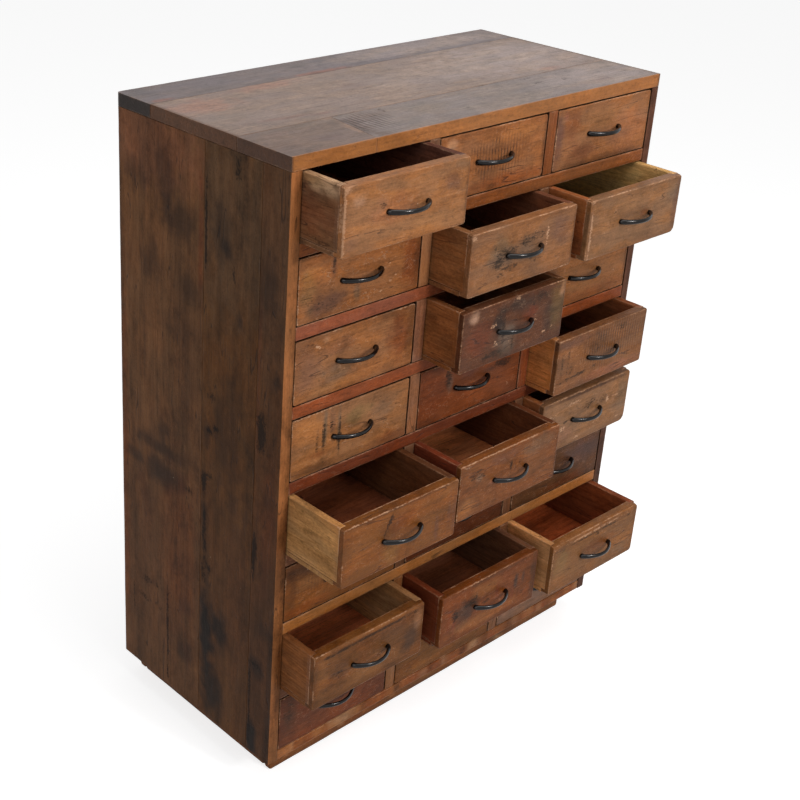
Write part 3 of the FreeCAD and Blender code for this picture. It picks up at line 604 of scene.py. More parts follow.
sideStains = {  # the first figure is the height above the underside of the panel
    # on the left planks a wide umber patch low down and a grey or rose one high up make each plank darker
    # towards the bottom
    "left_1": (
        ("umber", 200, 33, 640, 200, 0.4), ("grey", 1000, 33, 420, 200, 0.15),
        ("pitch", 950, 42, 130, 50, 0.62), ("pitch", 790, 15, 30, 26, 0.62),
        ("dark", 690, 50, 90, 26, 0.91), ("dark", 440, 60, 100, 14, 1), ("pitch", 200, 44, 50, 50, 0.75),
        ("dark", 205, 50, 16, 40, 0.65), ("pitch", 30, 52, 110, 40, 1), ("dark", 130, 60, 220, 10, 0.78),
        ("rust", 520, 24, 260, 44, 0.2), ("pitch", 150, 6, 330, 16, 0.5), ("rust", 800, 62, 300, 8, 0.2),
        ("pitch", 560, 30, 50, 30, 0.38), ("pitch", 290, 20, 40, 60, 0.5)),
    "left_2": (
        ("umber", 250, 73, 700, 300, 0.4), ("grey", 1040, 73, 400, 300, 0.25),
        ("dark", 1130, 60, 46, 20, 0.78), ("pitch", 985, 86, 34, 34, 0.75),
        ("pitch", 870, 46, 30, 16, 0.75), ("dark", 948, 67, 36, 4, 0.91),
        ("pitch", 1010, 100, 120, 60, 0.5), ("dark", 786, 110, 10, 24, 0.65),
        ("dark", 700, 118, 16, 30, 0.65, 20), ("dark", 636, 116, 10, 50, 0.91, 20),
        ("pitch", 620, 132, 50, 22, 0.62), ("dark", 535, 124, 16, 34, 0.65), ("dark", 520, 138, 60, 14, 1),
        ("dark", 400, 134, 210, 12, 0.78), ("dark", 340, 118, 20, 22, 0.65),
        ("pitch", 220, 82, 90, 50, 0.88), ("pitch", 200, 126, 190, 50, 1),
        ("pitch", 70, 110, 130, 70, 0.88), ("umber", 350, 40, 420, 60, 0.4), ("dark", 1020, 140, 160, 4, 1),
        ("pitch", 640, 70, 260, 90, 0.44), ("dark", 330, 138, 60, 10, 0.91),
        ("dark", 270, 100, 10, 60, 0.39, 30), ("pitch", 455, 136, 60, 12, 0.75)),
    "left_3": (
        ("umber", 260, 124, 700, 400, 0.4), ("rose", 1120, 150, 160, 320, 0.3),
        ("umber", 500, 238, 900, 30, 0.5), ("rust", 985, 8, 230, 14, 0.4),
        ("pitch", 1070, 112, 130, 70, 0.56), ("pitch", 1000, 72, 70, 120, 0.56),
        ("pitch", 1050, 200, 60, 60, 0.44), ("pitch", 900, 150, 90, 70, 0.5),
        ("pitch", 880, 40, 60, 80, 0.44), ("pitch", 800, 60, 60, 100, 0.38),
        ("pitch", 532, 120, 34, 170, 0.69), ("pitch", 482, 112, 60, 150, 0.75),
        ("pitch", 486, 208, 30, 60, 0.56), ("pitch", 575, 112, 50, 34, 0.62),
        ("dark", 482, 36, 16, 24, 0.65), ("umber", 430, 176, 90, 30, 0.5),
        ("umber", 370, 164, 170, 34, 0.45), ("dark", 213, 170, 12, 150, 0.65, 2),
        ("dark", 176, 175, 10, 150, 0.65), ("dark", 160, 210, 60, 5, 0.65),
        ("pitch", 112, 46, 60, 60, 0.56), ("pitch", 215, 40, 40, 50, 0.5), ("dark", 120, 100, 260, 5, 0.78),
        ("ember", 330, 60, 380, 110, 0.2), ("ember", 420, 236, 760, 24, 0.25),
        ("umber", 1130, 150, 90, 140, 0.3), ("umber", 700, 40, 200, 60, 0.3),
        ("pitch", 660, 130, 120, 8, 0.38), ("pitch", 640, 215, 90, 8, 0.38),
        ("pitch", 730, 170, 160, 10, 0.31)),
    "right_1": (
        ("rust", 900, 60, 420, 90, 0.25), ("pitch", 620, 120, 160, 40, 0.5), ("dark", 420, 30, 90, 14, 0.6),
        ("pitch", 160, 80, 180, 120, 0.5), ("ember", 760, 12, 500, 20, 0.3),
        ("dark", 1040, 100, 40, 20, 0.5)),
    "right_2": (
        ("umber", 300, 80, 600, 140, 0.4), ("pitch", 980, 60, 120, 90, 0.4), ("dark", 700, 8, 260, 10, 0.7),
        ("rust", 560, 120, 300, 40, 0.3), ("dark", 240, 130, 60, 30, 0.5), ("pitch", 480, 40, 60, 60, 0.4)),
    "right_3": (
        ("ember", 860, 80, 400, 120, 0.25), ("pitch", 1090, 110, 120, 60, 0.5),
        ("pitch", 380, 60, 50, 140, 0.4), ("umber", 140, 80, 260, 160, 0.4),
        ("dark", 560, 20, 120, 12, 0.6), ("dark", 300, 120, 30, 20, 0.4)),
}
sides = {  # outer and inner face, the planks' edges and tones from the front back
    "left": {"x": (left, innerLeft), "corner": (left, back), "edges": (0, 66, 212), "inside": "high",
             "tones": ("53341d", "5a391d", "68462c"), "frontEdge": (1, "low", "8e5a34")},
    "right": {"x": (innerRight, right), "corner": (right, back), "edges": (0, 150, 310), "inside": "low",
              "tones": ("4f392b", "523a28", "5a402e"), "frontEdge": (1, "low", "5c3a2a")},
}
for sideName, side in sides.items():
    edges = [front + edge for edge in side["edges"]] + [back]
    # the planks' inner faces take the darker inside tone as painted shade inside the carcass
    shadedInsideFace = (0, side["inside"], frameTones["inside"])
    for number, tone in enumerate(side["tones"]):
        low = (side["x"][0], edges[number], chest["bottom"])
        high = (side["x"][1], edges[number + 1], underTop)
        plank = carcassBoard(f"side_{sideName}_board_{number + 1}", low, high, 2, tone, "sideWood",
                             boardNumber[sideName] + number, arris=0.5, sharp=(2, 1),
                             patches=sideStains[f"{sideName}_{number + 1}"],
                             ends=(shadedInsideFace, side["frontEdge"]) if number == 0 else (shadedInsideFace,),
                             corner=side["corner"] if number == 2 else None)
        if number == 0:
            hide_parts("side_" + sideName)

chance = np.random.default_rng(7)
nick = {"long": (8, 44), "wide": 7, "strength": (0.2, 0.6)}


def nicks(kinds, count, long, wide):
    # small worn spots strewn over a board's face: long and wide are that face in mm
    return tuple((kinds[n % len(kinds)], chance.uniform(0, long), chance.uniform(0, wide),
                  chance.uniform(*nick["long"]), nick["wide"], chance.uniform(*nick["strength"]))
                 for n in range(count))


bottomStains = (
    ("honey", 160, 3, 200, 8, 0.6), ("ember", 400, 5, 300, 12, 0.5), ("honey", 620, 4, 160, 8, 0.5),
    ("umber", 300, 3, 60, 8, 0.5), ("umber", 780, 6, 160, 10, 0.4))
bottomStains += nicks(("straw", "honey", "ember", "dark"), 60, 900, 3)
bottomBoard = carcassBoard("bottom_board_worn", (innerLeft, front, chest["bottom"]),
                           (innerRight, bodyBack, firstFloor), 0, frameTones["bottom"], "edgeWood",
                           boardNumber["bottom"], arris=2.5, patches=bottomStains)
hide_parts("bottom_board")

railStains = {  # by the row above the rail, from the left panel on
    1: (
        ("ember", 240, 12, 500, 40, 0.4), ("umber", 520, 4, 300, 5, 0.5)),
    2: (
        ("rust", 90, 6, 200, 10, 0.6), ("rose", 96, 12, 12, 24, 0.8), ("ember", 300, 18, 200, 12, 0.5),
        ("rust", 200, 14, 180, 10, 0.6), ("ember", 236, 6, 130, 7, 0.6)),
    3: (
        ("ember", 90, 17, 200, 8, 0.8), ("rust", 60, 6, 160, 8, 0.6), ("honey", 130, 21, 60, 7, 0.5),
        ("rust", 230, 6, 100, 8, 0.5), ("soot", 250, 20, 40, 8, 0.4)),
    4: (
        ("soot", 200, 20, 240, 8, 0.4), ("rust", 100, 5, 180, 8, 0.4)),
}
railTones = ("854e28", "915137", "8f4925", "723820", "7a4c30", "a66c3a", "74482c")
for row, tone in enumerate(railTones, 1):
    floor = rowFloor(row)
    # the rail's top and bottom faces, in the gaps over and under the drawers, take the gap tone as painted
    # shade
    rail = carcassBoard(f"rail_{row}_{row + 1}", (innerLeft, front, floor - chest["rail"]),
                        (innerRight, front + chest["railDepth"], floor), 0, tone, "edgeWood",
                        boardNumber["rails"] + row, cell=7, arris=2.2, patches=railStains.get(row, ()),
                        ends=((2, "low", frameTones["gap"]), (2, "high", frameTones["gap"])))
    if row == 1:
        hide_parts("front_rails")

uprightTones = {  # column and row, the others have the plain tone
    (1, 2): "a56f47", (1, 3): "875b45", (1, 4): "926346", (1, 7): "7c5030", (1, 8): "8a5c38",
    (2, 1): "824b28", (2, 4): "834527", (2, 8): "7c5030", "plain": "6c462e",
}
for column in (1, 2):
    x = innerLeft + column * chest["opening"][0] + (column - 1) * chest["upright"]
    for row in range(1, 9):
        floor = rowFloor(row)
        tone = uprightTones.get((column, row), uprightTones["plain"])
        high = (x + chest["upright"], bodyBack, floor + chest["opening"][1])
        # the upright's two side faces, in the gaps beside the drawers, take the gap tone as painted shade
        upright = carcassBoard(f"upright_{column}_{row}", (x, front, floor), high, 2, tone, "edgeWood",
                               boardNumber["uprights"] + row + 10 * column, cell=12, arris=2.2,
                               ends=((0, "low", frameTones["gap"]), (0, "high", frameTones["gap"])))
        if row == 1 and column == 1:
            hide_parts("partitions")

dust = []
for row in range(1, 8):
    floor = rowFloor(row)
    dust.append(carcassBoard(f"dust_{row}", (innerLeft, front + chest["railDepth"], floor - chest["dust"]),
                             (innerRight, bodyBack, floor), 0, frameTones["dust"], "boxWood",
                             boardNumber["dust"] + row, cell=25))
dust = joined(dust, "dust_board_set")
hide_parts("dust_boards")

wide = (innerRight - innerLeft) / chest["backBoards"]
backs = [carcassBoard(f"back_{number}", (innerLeft + number * wide, bodyBack, chest["bottom"]),
                      (innerLeft + (number + 1) * wide, back, underTop), 2, frameTones["backs"], "boxWood",
                      boardNumber["backs"] + number, cell=12) for number in range(chest["backBoards"])]
backs = joined(backs, "back_board_set")
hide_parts("back_boards")

plinthSize = {
    "sideSet": 38, "frontSet": 35, "rearSet": 2, "board": 20, "block": 40, "blockLift": 12, "bearer": 30,
}
plinthHigh = chest["bottom"]
outX, inX = (right - plinthSize["sideSet"] - inset for inset in (0, plinthSize["board"]))
outFront, inFront = (front + plinthSize["frontSet"] + inset for inset in (0, plinthSize["board"]))
outRear, inRear = (back - plinthSize["rearSet"] - inset for inset in (0, plinthSize["board"]))
plinthBoards = (  # low and high corner, grain
    ((-outX, outFront, 0), (outX, inFront, plinthHigh), 0),
    ((-outX, inRear, 0), (outX, outRear, plinthHigh), 0),
    ((-outX, inFront, 0), (-inX, inRear, plinthHigh), 1),
    ((inX, inFront, 0), (outX, inRear, plinthHigh), 1))
plinthStains = (
    ("ember", 200, 30, 300, 40, 0.6), ("honey", 480, 26, 260, 20, 0.6), ("umber", 330, 20, 120, 14, 0.6),
    ("honey", 90, 30, 120, 16, 0.5), ("umber", 640, 16, 160, 30, 0.6), ("umber", 437, 4, 870, 7, 0.6))
plinthStains += nicks(("honey", "dark", "ember", "straw"), 70, 2 * outX, plinthHigh)
plinth = joined([carcassBoard(f"plinth_{n}", low, high, grain, frameTones["plinth"], "edgeWood",
                              boardNumber["plinth"] + n, cell=7, arris=5, patches=plinthStains)
                 for n, (low, high, grain) in enumerate(plinthBoards)], "plinth_boards")
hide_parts("plinth")
block = plinthSize["block"]
corners = [(x, y) for x in (-inX, inX - block) for y in (inFront, inRear - block)]
blocks = joined([carcassBoard(f"block_{n}", (x, y, plinthSize["blockLift"]),
                              (x + block, y + block, plinthHigh), 2, frameTones["blocks"], "boxWood",
                              boardNumber["blocks"] + n, cell=12)
                 for n, (x, y) in enumerate(corners)], "plinth_block_set")
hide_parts("plinth_blocks")
bearerHalf = plinthSize["bearer"] / 2
bearer = carcassBoard("plinth_bearer_board", (-bearerHalf, inFront, 0), (bearerHalf, inRear, plinthHigh), 1,
                      frameTones["blocks"], "boxWood", boardNumber["bearer"], cell=14)
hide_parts("plinth_bearer")
print("carcass built")

# drawers

out = {  # mm that a drawer stands out
    "L1": 93, "L5": 137, "L7": 85, "M2": 88, "M3": 86, "M5": 115, "M7": 104, "R2": 97, "R4": 68, "R5": 51,
    "R7": 120,
}
drawer = {  # mm; lap: how far behind the front's face the side walls begin, let into its back
    "gap": 1.6, "lift": 0.35, "topGap": 2.05, "rearGap": 0.4, "front": 20, "lap": 11, "wall": 15, "floor": 9,
}
boxWide = chest["opening"][0] - 2 * drawer["gap"]
boxHigh = chest["opening"][1] - drawer["lift"] - drawer["topGap"]
boxDeep = bodyBack - front - drawer["rearGap"]
outer = boxWide / 2
inner = outer - drawer["wall"]
lap = drawer["lap"]
boards = {  # low and high corner, grain, cell, arris
    "front": ((-outer, 0, 0), (outer, drawer["front"], boxHigh), 0, 3.6, 3.2),
    "left": ((-outer, lap, drawer["floor"]), (-inner, boxDeep, boxHigh), 1, 9, 1.2),
    "right": ((inner, lap, drawer["floor"]), (outer, boxDeep, boxHigh), 1, 9, 1.2),
    "back": ((-inner, boxDeep - drawer["wall"], drawer["floor"]), (inner, boxDeep, boxHigh), 0, 12, 1.2),
    "bottom": ((-outer, drawer["front"], 0), (outer, boxDeep, drawer["floor"]), 0, 14, 0.5),
}


def lapFront(board):
    # the front is cut as thin as its lap, and its middle and foot are drawn back to the full thickness
    bpy.ops.object.mode_set(mode="EDIT")
    bpy.ops.mesh.select_mode(type="FACE")
    bpy.ops.mesh.select_all(action="DESELECT")
    mesh = bmesh.from_edit_mesh(board.data)
    rear = [v for v in mesh.verts if v.co.y > (lap - 0.01) * mm]
    for axis, line in ((0, -inner), (0, inner), (2, drawer["floor"])):
        nearest = min({round(v.co[axis] / mm, 3) for v in rear}, key=lambda value: abs(value - line))
        for vert in rear:
            if abs(vert.co[axis] / mm - nearest) < 0.01:
                vert.co[axis] = line * mm
    for face in mesh.faces:
        spot = face.calc_center_median() / mm
        if face.normal.y > 0.9 and spot.y > lap - 0.01 and (abs(spot.x) < inner or spot.z < drawer["floor"]):
            face.select_set(True)
    bmesh.update_edit_mesh(board.data)
    bpy.ops.mesh.extrude_region_move(TRANSFORM_OT_translate={"value": (0, (drawer["front"] - lap) * mm, 0)})
    bpy.ops.object.mode_set(mode="OBJECT")


parts = []
for number, (name, (low, high, grain, cell, arris)) in enumerate(boards.items()):
    cutTo = (high[0], lap, high[2]) if name == "front" else high
    board = cutBoard("drawer_" + name, [v * mm for v in low], [v * mm for v in cutTo], cell * mm, arris * mm,
                     sharp=(1, 1) if name == "front" else (1, 0))
    if name == "front":
        lapFront(board)
    layGrain(board, low, high, grain)
    put(board.data, "drawerBoard", "FLOAT", np.full(len(board.data.vertices), number))
    parts.append(board)
master = joinInto(parts)
master.data.materials.append(materials["frontWood"])
master.data.materials.append(materials["boxWood"])
for face in master.data.polygons:
    face.material_index = 0 if face.center.y < drawer["front"] * mm else 1

chip = {"reach": 8, "wave": 0.07, "level": 0.35, "inwards": 0.6}  # mm, per mm, and how far back for 1 mm down


def wearFront(mesh, onFront, corners, chips, salt):
    # the front's corners are rounded by hands, and its top arris is chipped
    spots = points(mesh)
    for (sideX, sideZ), radius in zip(((-1, -1), (1, -1), (-1, 1), (1, 1)), corners):
        corner = (sideX * outer, boxHigh / 2 * (1 + sideZ))
        roundCorner(spots, (0, 2), corner, (sideX, sideZ), radius, onFront)
    away = np.hypot(spots[:, 1], boxHigh - spots[:, 2])
    near = onFront & (away < chip["reach"])
    alongX = np.c_[spots[near, 0], np.zeros((near.sum(), 2))]
    depth = chips * np.clip(wobble(alongX, chip["wave"], salt) + chip["level"], 0, 1)
    depth = depth * (1 - away[near] / chip["reach"])
    spots[near, 2] -= depth
    spots[near, 1] += chip["inwards"] * depth
    movePoints(mesh, spots)


# the front tones grow darker from the top rows to the bottom rows: partly the wood's own colour, partly
# painted shade where the light falls off downwards
plainDrawer = {  # board tones, radii of the front's corners (low left, low right, top left, top right), chips
    "front": "85593b", "left": "7a5238", "right": "7a4e32", "back": "7a4a30", "bottom": "85492c",
    "corners": (3, 4, 3, 3), "chips": 1.2,
}
drawerLooks = {  # what differs from the plain drawer; stains on the front board from its lower left corner
    "L1": {"front": "986741", "right": "5a382c", "left": "76533a", "corners": (3, 5, 3, 4), "chips": 1.2,
        "frontSpots": (
        ("crackle", 110, 70, 120, 60, 0.6), ("plum", 245, 82, 46, 32, 0.5), ("grey", 268, 108, 50, 24, 0.4),
        ("plum", 18, 25, 34, 40, 0.25), ("pale", 32, 92, 34, 20, 0.35), ("honey", 205, 22, 130, 44, 0.3),
        ("rose", 110, 62, 110, 50, 0.3), ("umber", 279, 60, 10, 120, 0.5), ("dark", 84, 72, 20, 14, 0.4),
        ("dark", 128, 98, 26, 10, 0.25), ("dark", 62, 40, 14, 20, 0.2), ("bare", 3, 60, 7, 116, 0.9),
        ("bare", 6, 112, 18, 12, 0.7), ("bare", 252, 50, 10, 4, 0.4)),
        "leftSpots": (
        ("straw", 34, 102, 96, 30, 1.0), ("olive", 60, 100, 60, 20, 0.3), ("rust", 70, 45, 160, 70, 0.4),
        ("dark", 12, 106, 16, 10, 0.6), ("dark", 30, 8, 90, 14, 0.5))},
    "L2": {"front": "966038", "frontSpots": (
        ("crackle", 140, 60, 280, 120, 1.0), ("honey", 30, 90, 60, 30, 0.3),
        ("rust", 262, 55, 54, 110, 0.6), ("umber", 276, 60, 20, 120, 0.5), ("plum", 58, 26, 96, 36, 0.5),
        ("grey", 132, 27, 18, 34, 0.6), ("plum", 78, 92, 14, 50, 0.5), ("dark", 78, 95, 9, 40, 0.6),
        ("dark", 42, 34, 60, 30, 0.3), ("dark", 74, 18, 40, 14, 0.3), ("umber", 60, 30, 110, 50, 0.35),
        ("olive", 20, 60, 40, 80, 0.3), ("bare", 206, 64, 42, 4, 0.5, 34),
        ("bare", 216, 36, 40, 4, 0.4, 30), ("bare", 190, 18, 12, 5, 0.5), ("bare", 120, 1, 240, 3, 0.5))},
    "L3": {"front": "94613b", "corners": (4, 5, 4, 5), "chips": 1.0, "frontSpots": (
        ("crackle", 120, 70, 200, 100, 0.7), ("rust", 246, 66, 56, 90, 0.6),
        ("umber", 272, 62, 26, 120, 0.5), ("umber", 222, 112, 120, 16, 0.45),
        ("plum", 26, 62, 56, 96, 0.35), ("grey", 96, 38, 96, 38, 0.5), ("plum", 100, 88, 90, 34, 0.35),
        ("honey", 90, 13, 140, 22, 0.45), ("pale", 70, 104, 18, 12, 0.5), ("bare", 52, 96, 24, 5, 0.7, -24),
        ("dark", 34, 104, 40, 3, 0.4, -18), ("dark", 132, 8, 12, 8, 0.3))},
    "L4": {"front": "986741", "frontSpots": (
        ("crackle", 160, 60, 260, 120, 1.0), ("grey", 77, 80, 12, 90, 0.75), ("grey", 111, 74, 8, 96, 0.65),
        ("plum", 94, 92, 16, 56, 0.35), ("dark", 75, 62, 9, 80, 0.75), ("dark", 112, 60, 8, 90, 0.7),
        ("dark", 60, 54, 8, 70, 0.5), ("dark", 92, 84, 8, 50, 0.5), ("olive", 155, 86, 66, 40, 0.45),
        ("grey", 214, 74, 60, 36, 0.35), ("rust", 236, 10, 100, 30, 0.5), ("umber", 50, 10, 120, 26, 0.55),
        ("rust", 62, 34, 44, 14, 0.4), ("honey", 36, 92, 56, 40, 0.3), ("dark", 45, 105, 14, 10, 0.25),
        ("umber", 140, 62, 40, 10, 0.3), ("bare", 34, 92, 30, 4, 0.35))},
    "L5": {"front": "7c4a20", "bottom": "7e442a", "right": "613b24", "left": "b38453", "frontSpots": (
        ("dark", 107, 88, 60, 4, 0.95, 65), ("rust", 132, 84, 66, 44, 0.35),
        ("plum", 231, 36, 10, 60, 0.45), ("plum", 262, 60, 9, 90, 0.35), ("olive", 116, 30, 44, 50, 0.3),
        ("dark", 132, 22, 8, 16, 0.25), ("umber", 140, 115, 280, 6, 0.6), ("bare", 96, 98, 20, 4, 0.4),
        ("plum", 275, 50, 12, 100, 0.3)),
        "leftSpots": (
        ("umber", 60, 20, 160, 20, 0.3), ("honey", 30, 104, 90, 10, 0.6))},
    "L6": {"front": "7a4b26", "frontSpots": (
        ("honey", 60, 70, 110, 30, 0.35), ("umber", 20, 60, 20, 110, 0.4), ("umber", 40, 96, 100, 30, 0.4),
        ("ember", 66, 14, 150, 22, 0.4), ("dark", 98, 50, 14, 10, 0.7, -35), ("dark", 60, 36, 8, 6, 0.5),
        ("saw", 70, 60, 120, 60, 0.3))},
    "L7": {"front": "6c411c", "bottom": "db794a", "right": "a67a50", "left": "835331",
        "corners": (3, 5, 3, 5), "chips": 3.5,
        "frontSpots": (
        ("crackle", 180, 50, 160, 80, 0.6), ("umber", 70, 62, 52, 52, 0.45), ("dark", 62, 52, 34, 30, 0.25),
        ("soot", 246, 46, 44, 64, 0.5), ("honey", 150, 30, 150, 40, 0.3), ("honey", 20, 66, 34, 100, 0.2),
        ("dark", 140, 105, 284, 7, 0.9), ("honey", 140, 114, 284, 9, 0.5),
        ("umber", 210, 90, 110, 40, 0.35), ("dark", 148, 72, 10, 12, 0.25),
        ("pale", 268, 84, 24, 50, 0.25))},
    "L8": {"front": "5f321b", "frontSpots": (
        ("umber", 26, 68, 40, 96, 0.6), ("ember", 120, 20, 260, 44, 0.35), ("umber", 205, 66, 120, 34, 0.5),
        ("ember", 110, 80, 90, 50, 0.2), ("dark", 20, 80, 34, 50, 0.4))},
    "M1": {"front": "925e39", "corners": (3, 7, 3, 6), "chips": 1.0, "frontSpots": (
        ("pale", 27, 101, 28, 24, 0.7), ("saw", 152, 62, 150, 84, 1.0), ("ember", 190, 14, 210, 30, 0.55),
        ("umber", 140, 8, 30, 10, 0.5), ("umber", 278, 60, 10, 120, 0.5), ("honey", 200, 96, 130, 30, 0.3),
        ("dark", 40, 14, 20, 8, 0.4), ("umber", 130, 60, 90, 80, 0.2))},
    "M2": {"front": "875c3c", "right": "774831", "left": "8b5b37", "corners": (4, 7, 3, 3), "chips": 1.5,
        "frontSpots": (
        ("grey", 78, 70, 70, 64, 0.6), ("dark", 74, 50, 40, 26, 0.76), ("dark", 100, 60, 76, 44, 0.56),
        ("dark", 150, 78, 84, 26, 0.48), ("dark", 112, 36, 46, 18, 0.56), ("dark", 168, 40, 60, 16, 0.4),
        ("bare", 203, 74, 7, 70, 0.7), ("plum", 240, 78, 60, 60, 0.4), ("umber", 279, 60, 8, 120, 0.6),
        ("dark", 60, 80, 30, 20, 0.4), ("dark", 84, 26, 30, 10, 0.4), ("grey", 150, 60, 70, 50, 0.4),
        ("bare", 5, 110, 14, 14, 0.8), ("honey", 100, 8, 180, 14, 0.35), ("bare", 262, 4, 36, 6, 0.6))},
    "M3": {"front": "593521", "left": "885531", "corners": (3, 4, 4, 4), "chips": 2.0, "frontSpots": (
        ("pale", 30, 102, 28, 24, 0.75), ("rust", 46, 58, 80, 70, 0.5), ("soot", 98, 74, 34, 60, 0.8),
        ("grey", 122, 40, 50, 70, 0.6), ("soot", 150, 100, 90, 26, 0.7), ("bare", 93, 37, 14, 16, 0.55),
        ("bare", 132, 33, 14, 9, 0.55), ("bare", 84, 74, 20, 6, 0.55, 10), ("bare", 146, 113, 18, 8, 0.55),
        ("bare", 200, 58, 8, 16, 0.55), ("bare", 27, 27, 8, 7, 0.55), ("olive", 262, 72, 52, 100, 0.35),
        ("pale", 272, 98, 18, 30, 0.4), ("rust", 184, 74, 44, 26, 0.7), ("dark", 90, 16, 80, 22, 0.6),
        ("bare", 228, 25, 20, 6, 0.55), ("dark", 208, 100, 46, 34, 0.5), ("dark", 112, 60, 10, 70, 0.6),
        ("dark", 140, 30, 10, 40, 0.5), ("soot", 236, 60, 30, 90, 0.4), ("bare", 250, 30, 10, 8, 0.55))},
    "M4": {"front": "733d20", "frontSpots": (
        ("dark", 76, 92, 18, 60, 0.6), ("grey", 82, 70, 16, 40, 0.5), ("rust", 40, 60, 80, 110, 0.3),
        ("ember", 200, 30, 160, 50, 0.5), ("dark", 240, 74, 64, 20, 0.8), ("soot", 200, 70, 60, 16, 0.4),
        ("bare", 250, 22, 10, 5, 0.6), ("plum", 130, 84, 60, 30, 0.4))},
    "M5": {"front": "774622", "right": "643923", "left": "763722", "bottom": "c47447",
        "corners": (3, 4, 3, 5), "chips": 1.5,
        "frontSpots": (
        ("dark", 48, 82, 42, 26, 0.5), ("pale", 52, 79, 20, 14, 0.6), ("rose", 92, 57, 26, 10, 0.6),
        ("honey", 20, 22, 60, 44, 0.35), ("dark", 143, 74, 7, 30, 0.75), ("dark", 168, 76, 7, 30, 0.7),
        ("dark", 156, 66, 7, 16, 0.5), ("grey", 215, 96, 100, 40, 0.4), ("umber", 279, 50, 8, 100, 0.5),
        ("umber", 25, 62, 40, 8, 0.5), ("plum", 120, 98, 90, 24, 0.35), ("bare", 20, 112, 34, 6, 0.6))},
    "M6": {"front": "542b15"},
    "M7": {"front": "6f3a13", "bottom": "955638", "right": "6e4934", "left": "71361e",
        "corners": (8, 5, 3, 4), "chips": 3.0,
        "frontSpots": (
        ("soot", 76, 64, 70, 52, 0.75), ("umber", 56, 58, 50, 70, 0.5), ("dark", 40, 62, 24, 40, 0.6),
        ("dark", 84, 78, 50, 24, 0.7), ("rust", 38, 40, 9, 70, 0.8), ("rust", 22, 52, 8, 60, 0.6),
        ("rust", 162, 74, 14, 34, 0.8), ("soot", 218, 68, 14, 40, 0.8), ("rust", 210, 44, 8, 30, 0.7),
        ("soot", 240, 70, 10, 30, 0.6), ("umber", 272, 58, 22, 120, 0.7), ("dark", 240, 32, 18, 14, 0.5),
        ("umber", 150, 112, 280, 9, 0.5), ("honey", 120, 22, 200, 30, 0.35),
        ("honey", 120, 90, 90, 30, 0.3), ("dark", 126, 60, 30, 10, 0.5))},
    "M8": {"front": "6d4116", "frontSpots": (
        ("plum", 32, 84, 42, 44, 0.55), ("honey", 60, 12, 130, 24, 0.2))},
    "R1": {"front": "94623d", "frontSpots": (
        ("plum", 9, 58, 30, 120, 0.65), ("rust", 44, 80, 54, 76, 0.4), ("rose", 24, 103, 17, 18, 0.8),
        ("rust", 82, 26, 90, 40, 0.45), ("umber", 150, 5, 284, 12, 0.55), ("rose", 220, 50, 120, 90, 0.25),
        ("honey", 130, 82, 120, 44, 0.3), ("dark", 20, 30, 14, 20, 0.2))},
    "R2": {"front": "886040", "left": "915330", "right": "c79d62", "back": "6d6a47", "bottom": "6b5a34",
        "corners": (3, 13, 3, 4), "chips": 2.0,
        "frontSpots": (
        ("bare", 8, 50, 7, 110, 1.0), ("plum", 272, 60, 20, 110, 0.5), ("grey", 254, 88, 44, 44, 0.4),
        ("bare", 50, 44, 10, 6, 0.6), ("honey", 150, 96, 200, 30, 0.25), ("rust", 170, 64, 30, 14, 0.4),
        ("umber", 130, 66, 60, 10, 0.3), ("dark", 70, 80, 40, 4, 0.25), ("bare", 6, 112, 16, 10, 0.7)),
        "leftSpots": (
        ("honey", 40, 90, 130, 40, 0.5),)},
    "R3": {"front": "8e5c35", "frontSpots": (
        ("ember", 130, 12, 284, 30, 0.45), ("umber", 278, 60, 12, 120, 0.5), ("bare", 236, 44, 24, 5, 0.4),
        ("soot", 20, 84, 90, 20, 0.6))},
    "R4": {"front": "7b5132", "right": "8e5231", "left": "c7824a", "corners": (3, 5, 3, 4), "chips": 2.0,
        "frontSpots": (
        ("plum", 52, 106, 120, 24, 0.5), ("saw", 175, 78, 200, 96, 1.0), ("dark", 60, 29, 130, 7, 0.8, 4),
        ("rose", 180, 12, 210, 24, 0.5), ("dark", 46, 46, 24, 26, 0.35), ("dark", 120, 62, 34, 30, 0.3),
        ("dark", 202, 100, 28, 24, 0.35), ("dark", 278, 70, 8, 80, 0.5), ("dark", 16, 60, 8, 90, 0.5),
        ("dark", 34, 70, 8, 60, 0.45), ("umber", 100, 90, 60, 40, 0.4))},
    "R5": {"front": "8a6242", "left": "a0623a", "corners": (3, 14, 3, 6), "chips": 3.5, "frontSpots": (
        ("crackle", 140, 60, 280, 120, 0.7), ("umber", 140, 112, 284, 9, 0.9),
        ("bare", 211, 70, 10, 18, 0.8), ("bare", 66, 44, 17, 14, 0.7), ("dark", 150, 78, 70, 28, 0.35),
        ("dark", 196, 76, 26, 24, 0.35), ("bare", 240, 72, 44, 7, 0.5, -10),
        ("grey", 262, 70, 40, 80, 0.45), ("rose", 60, 28, 100, 40, 0.25), ("bare", 100, 96, 60, 6, 0.6),
        ("bare", 30, 84, 40, 6, 0.5, 8), ("bare", 120, 12, 24, 10, 0.6), ("dark", 90, 60, 60, 8, 0.5),
        ("bare", 180, 30, 50, 6, 0.5, 6), ("bare", 256, 20, 16, 7, 0.6), ("dark", 30, 50, 30, 8, 0.4))},
    "R6": {"front": "58361d", "frontSpots": (
        ("plum", 226, 66, 130, 60, 0.5), ("rust", 180, 12, 120, 24, 0.3))},
    "R7": {"front": "7f532d", "right": "874729", "left": "cc925e", "bottom": "b0552e",
        "corners": (3, 8, 3, 8), "chips": 3.5,
        "frontSpots": (
        ("dark", 140, 101, 284, 3, 0.8), ("bare", 130, 106, 280, 5, 0.8), ("dark", 146, 95, 16, 9, 0.5),
        ("rust", 150, 66, 120, 30, 0.3), ("olive", 30, 70, 50, 60, 0.3), ("grey", 240, 24, 60, 30, 0.3),
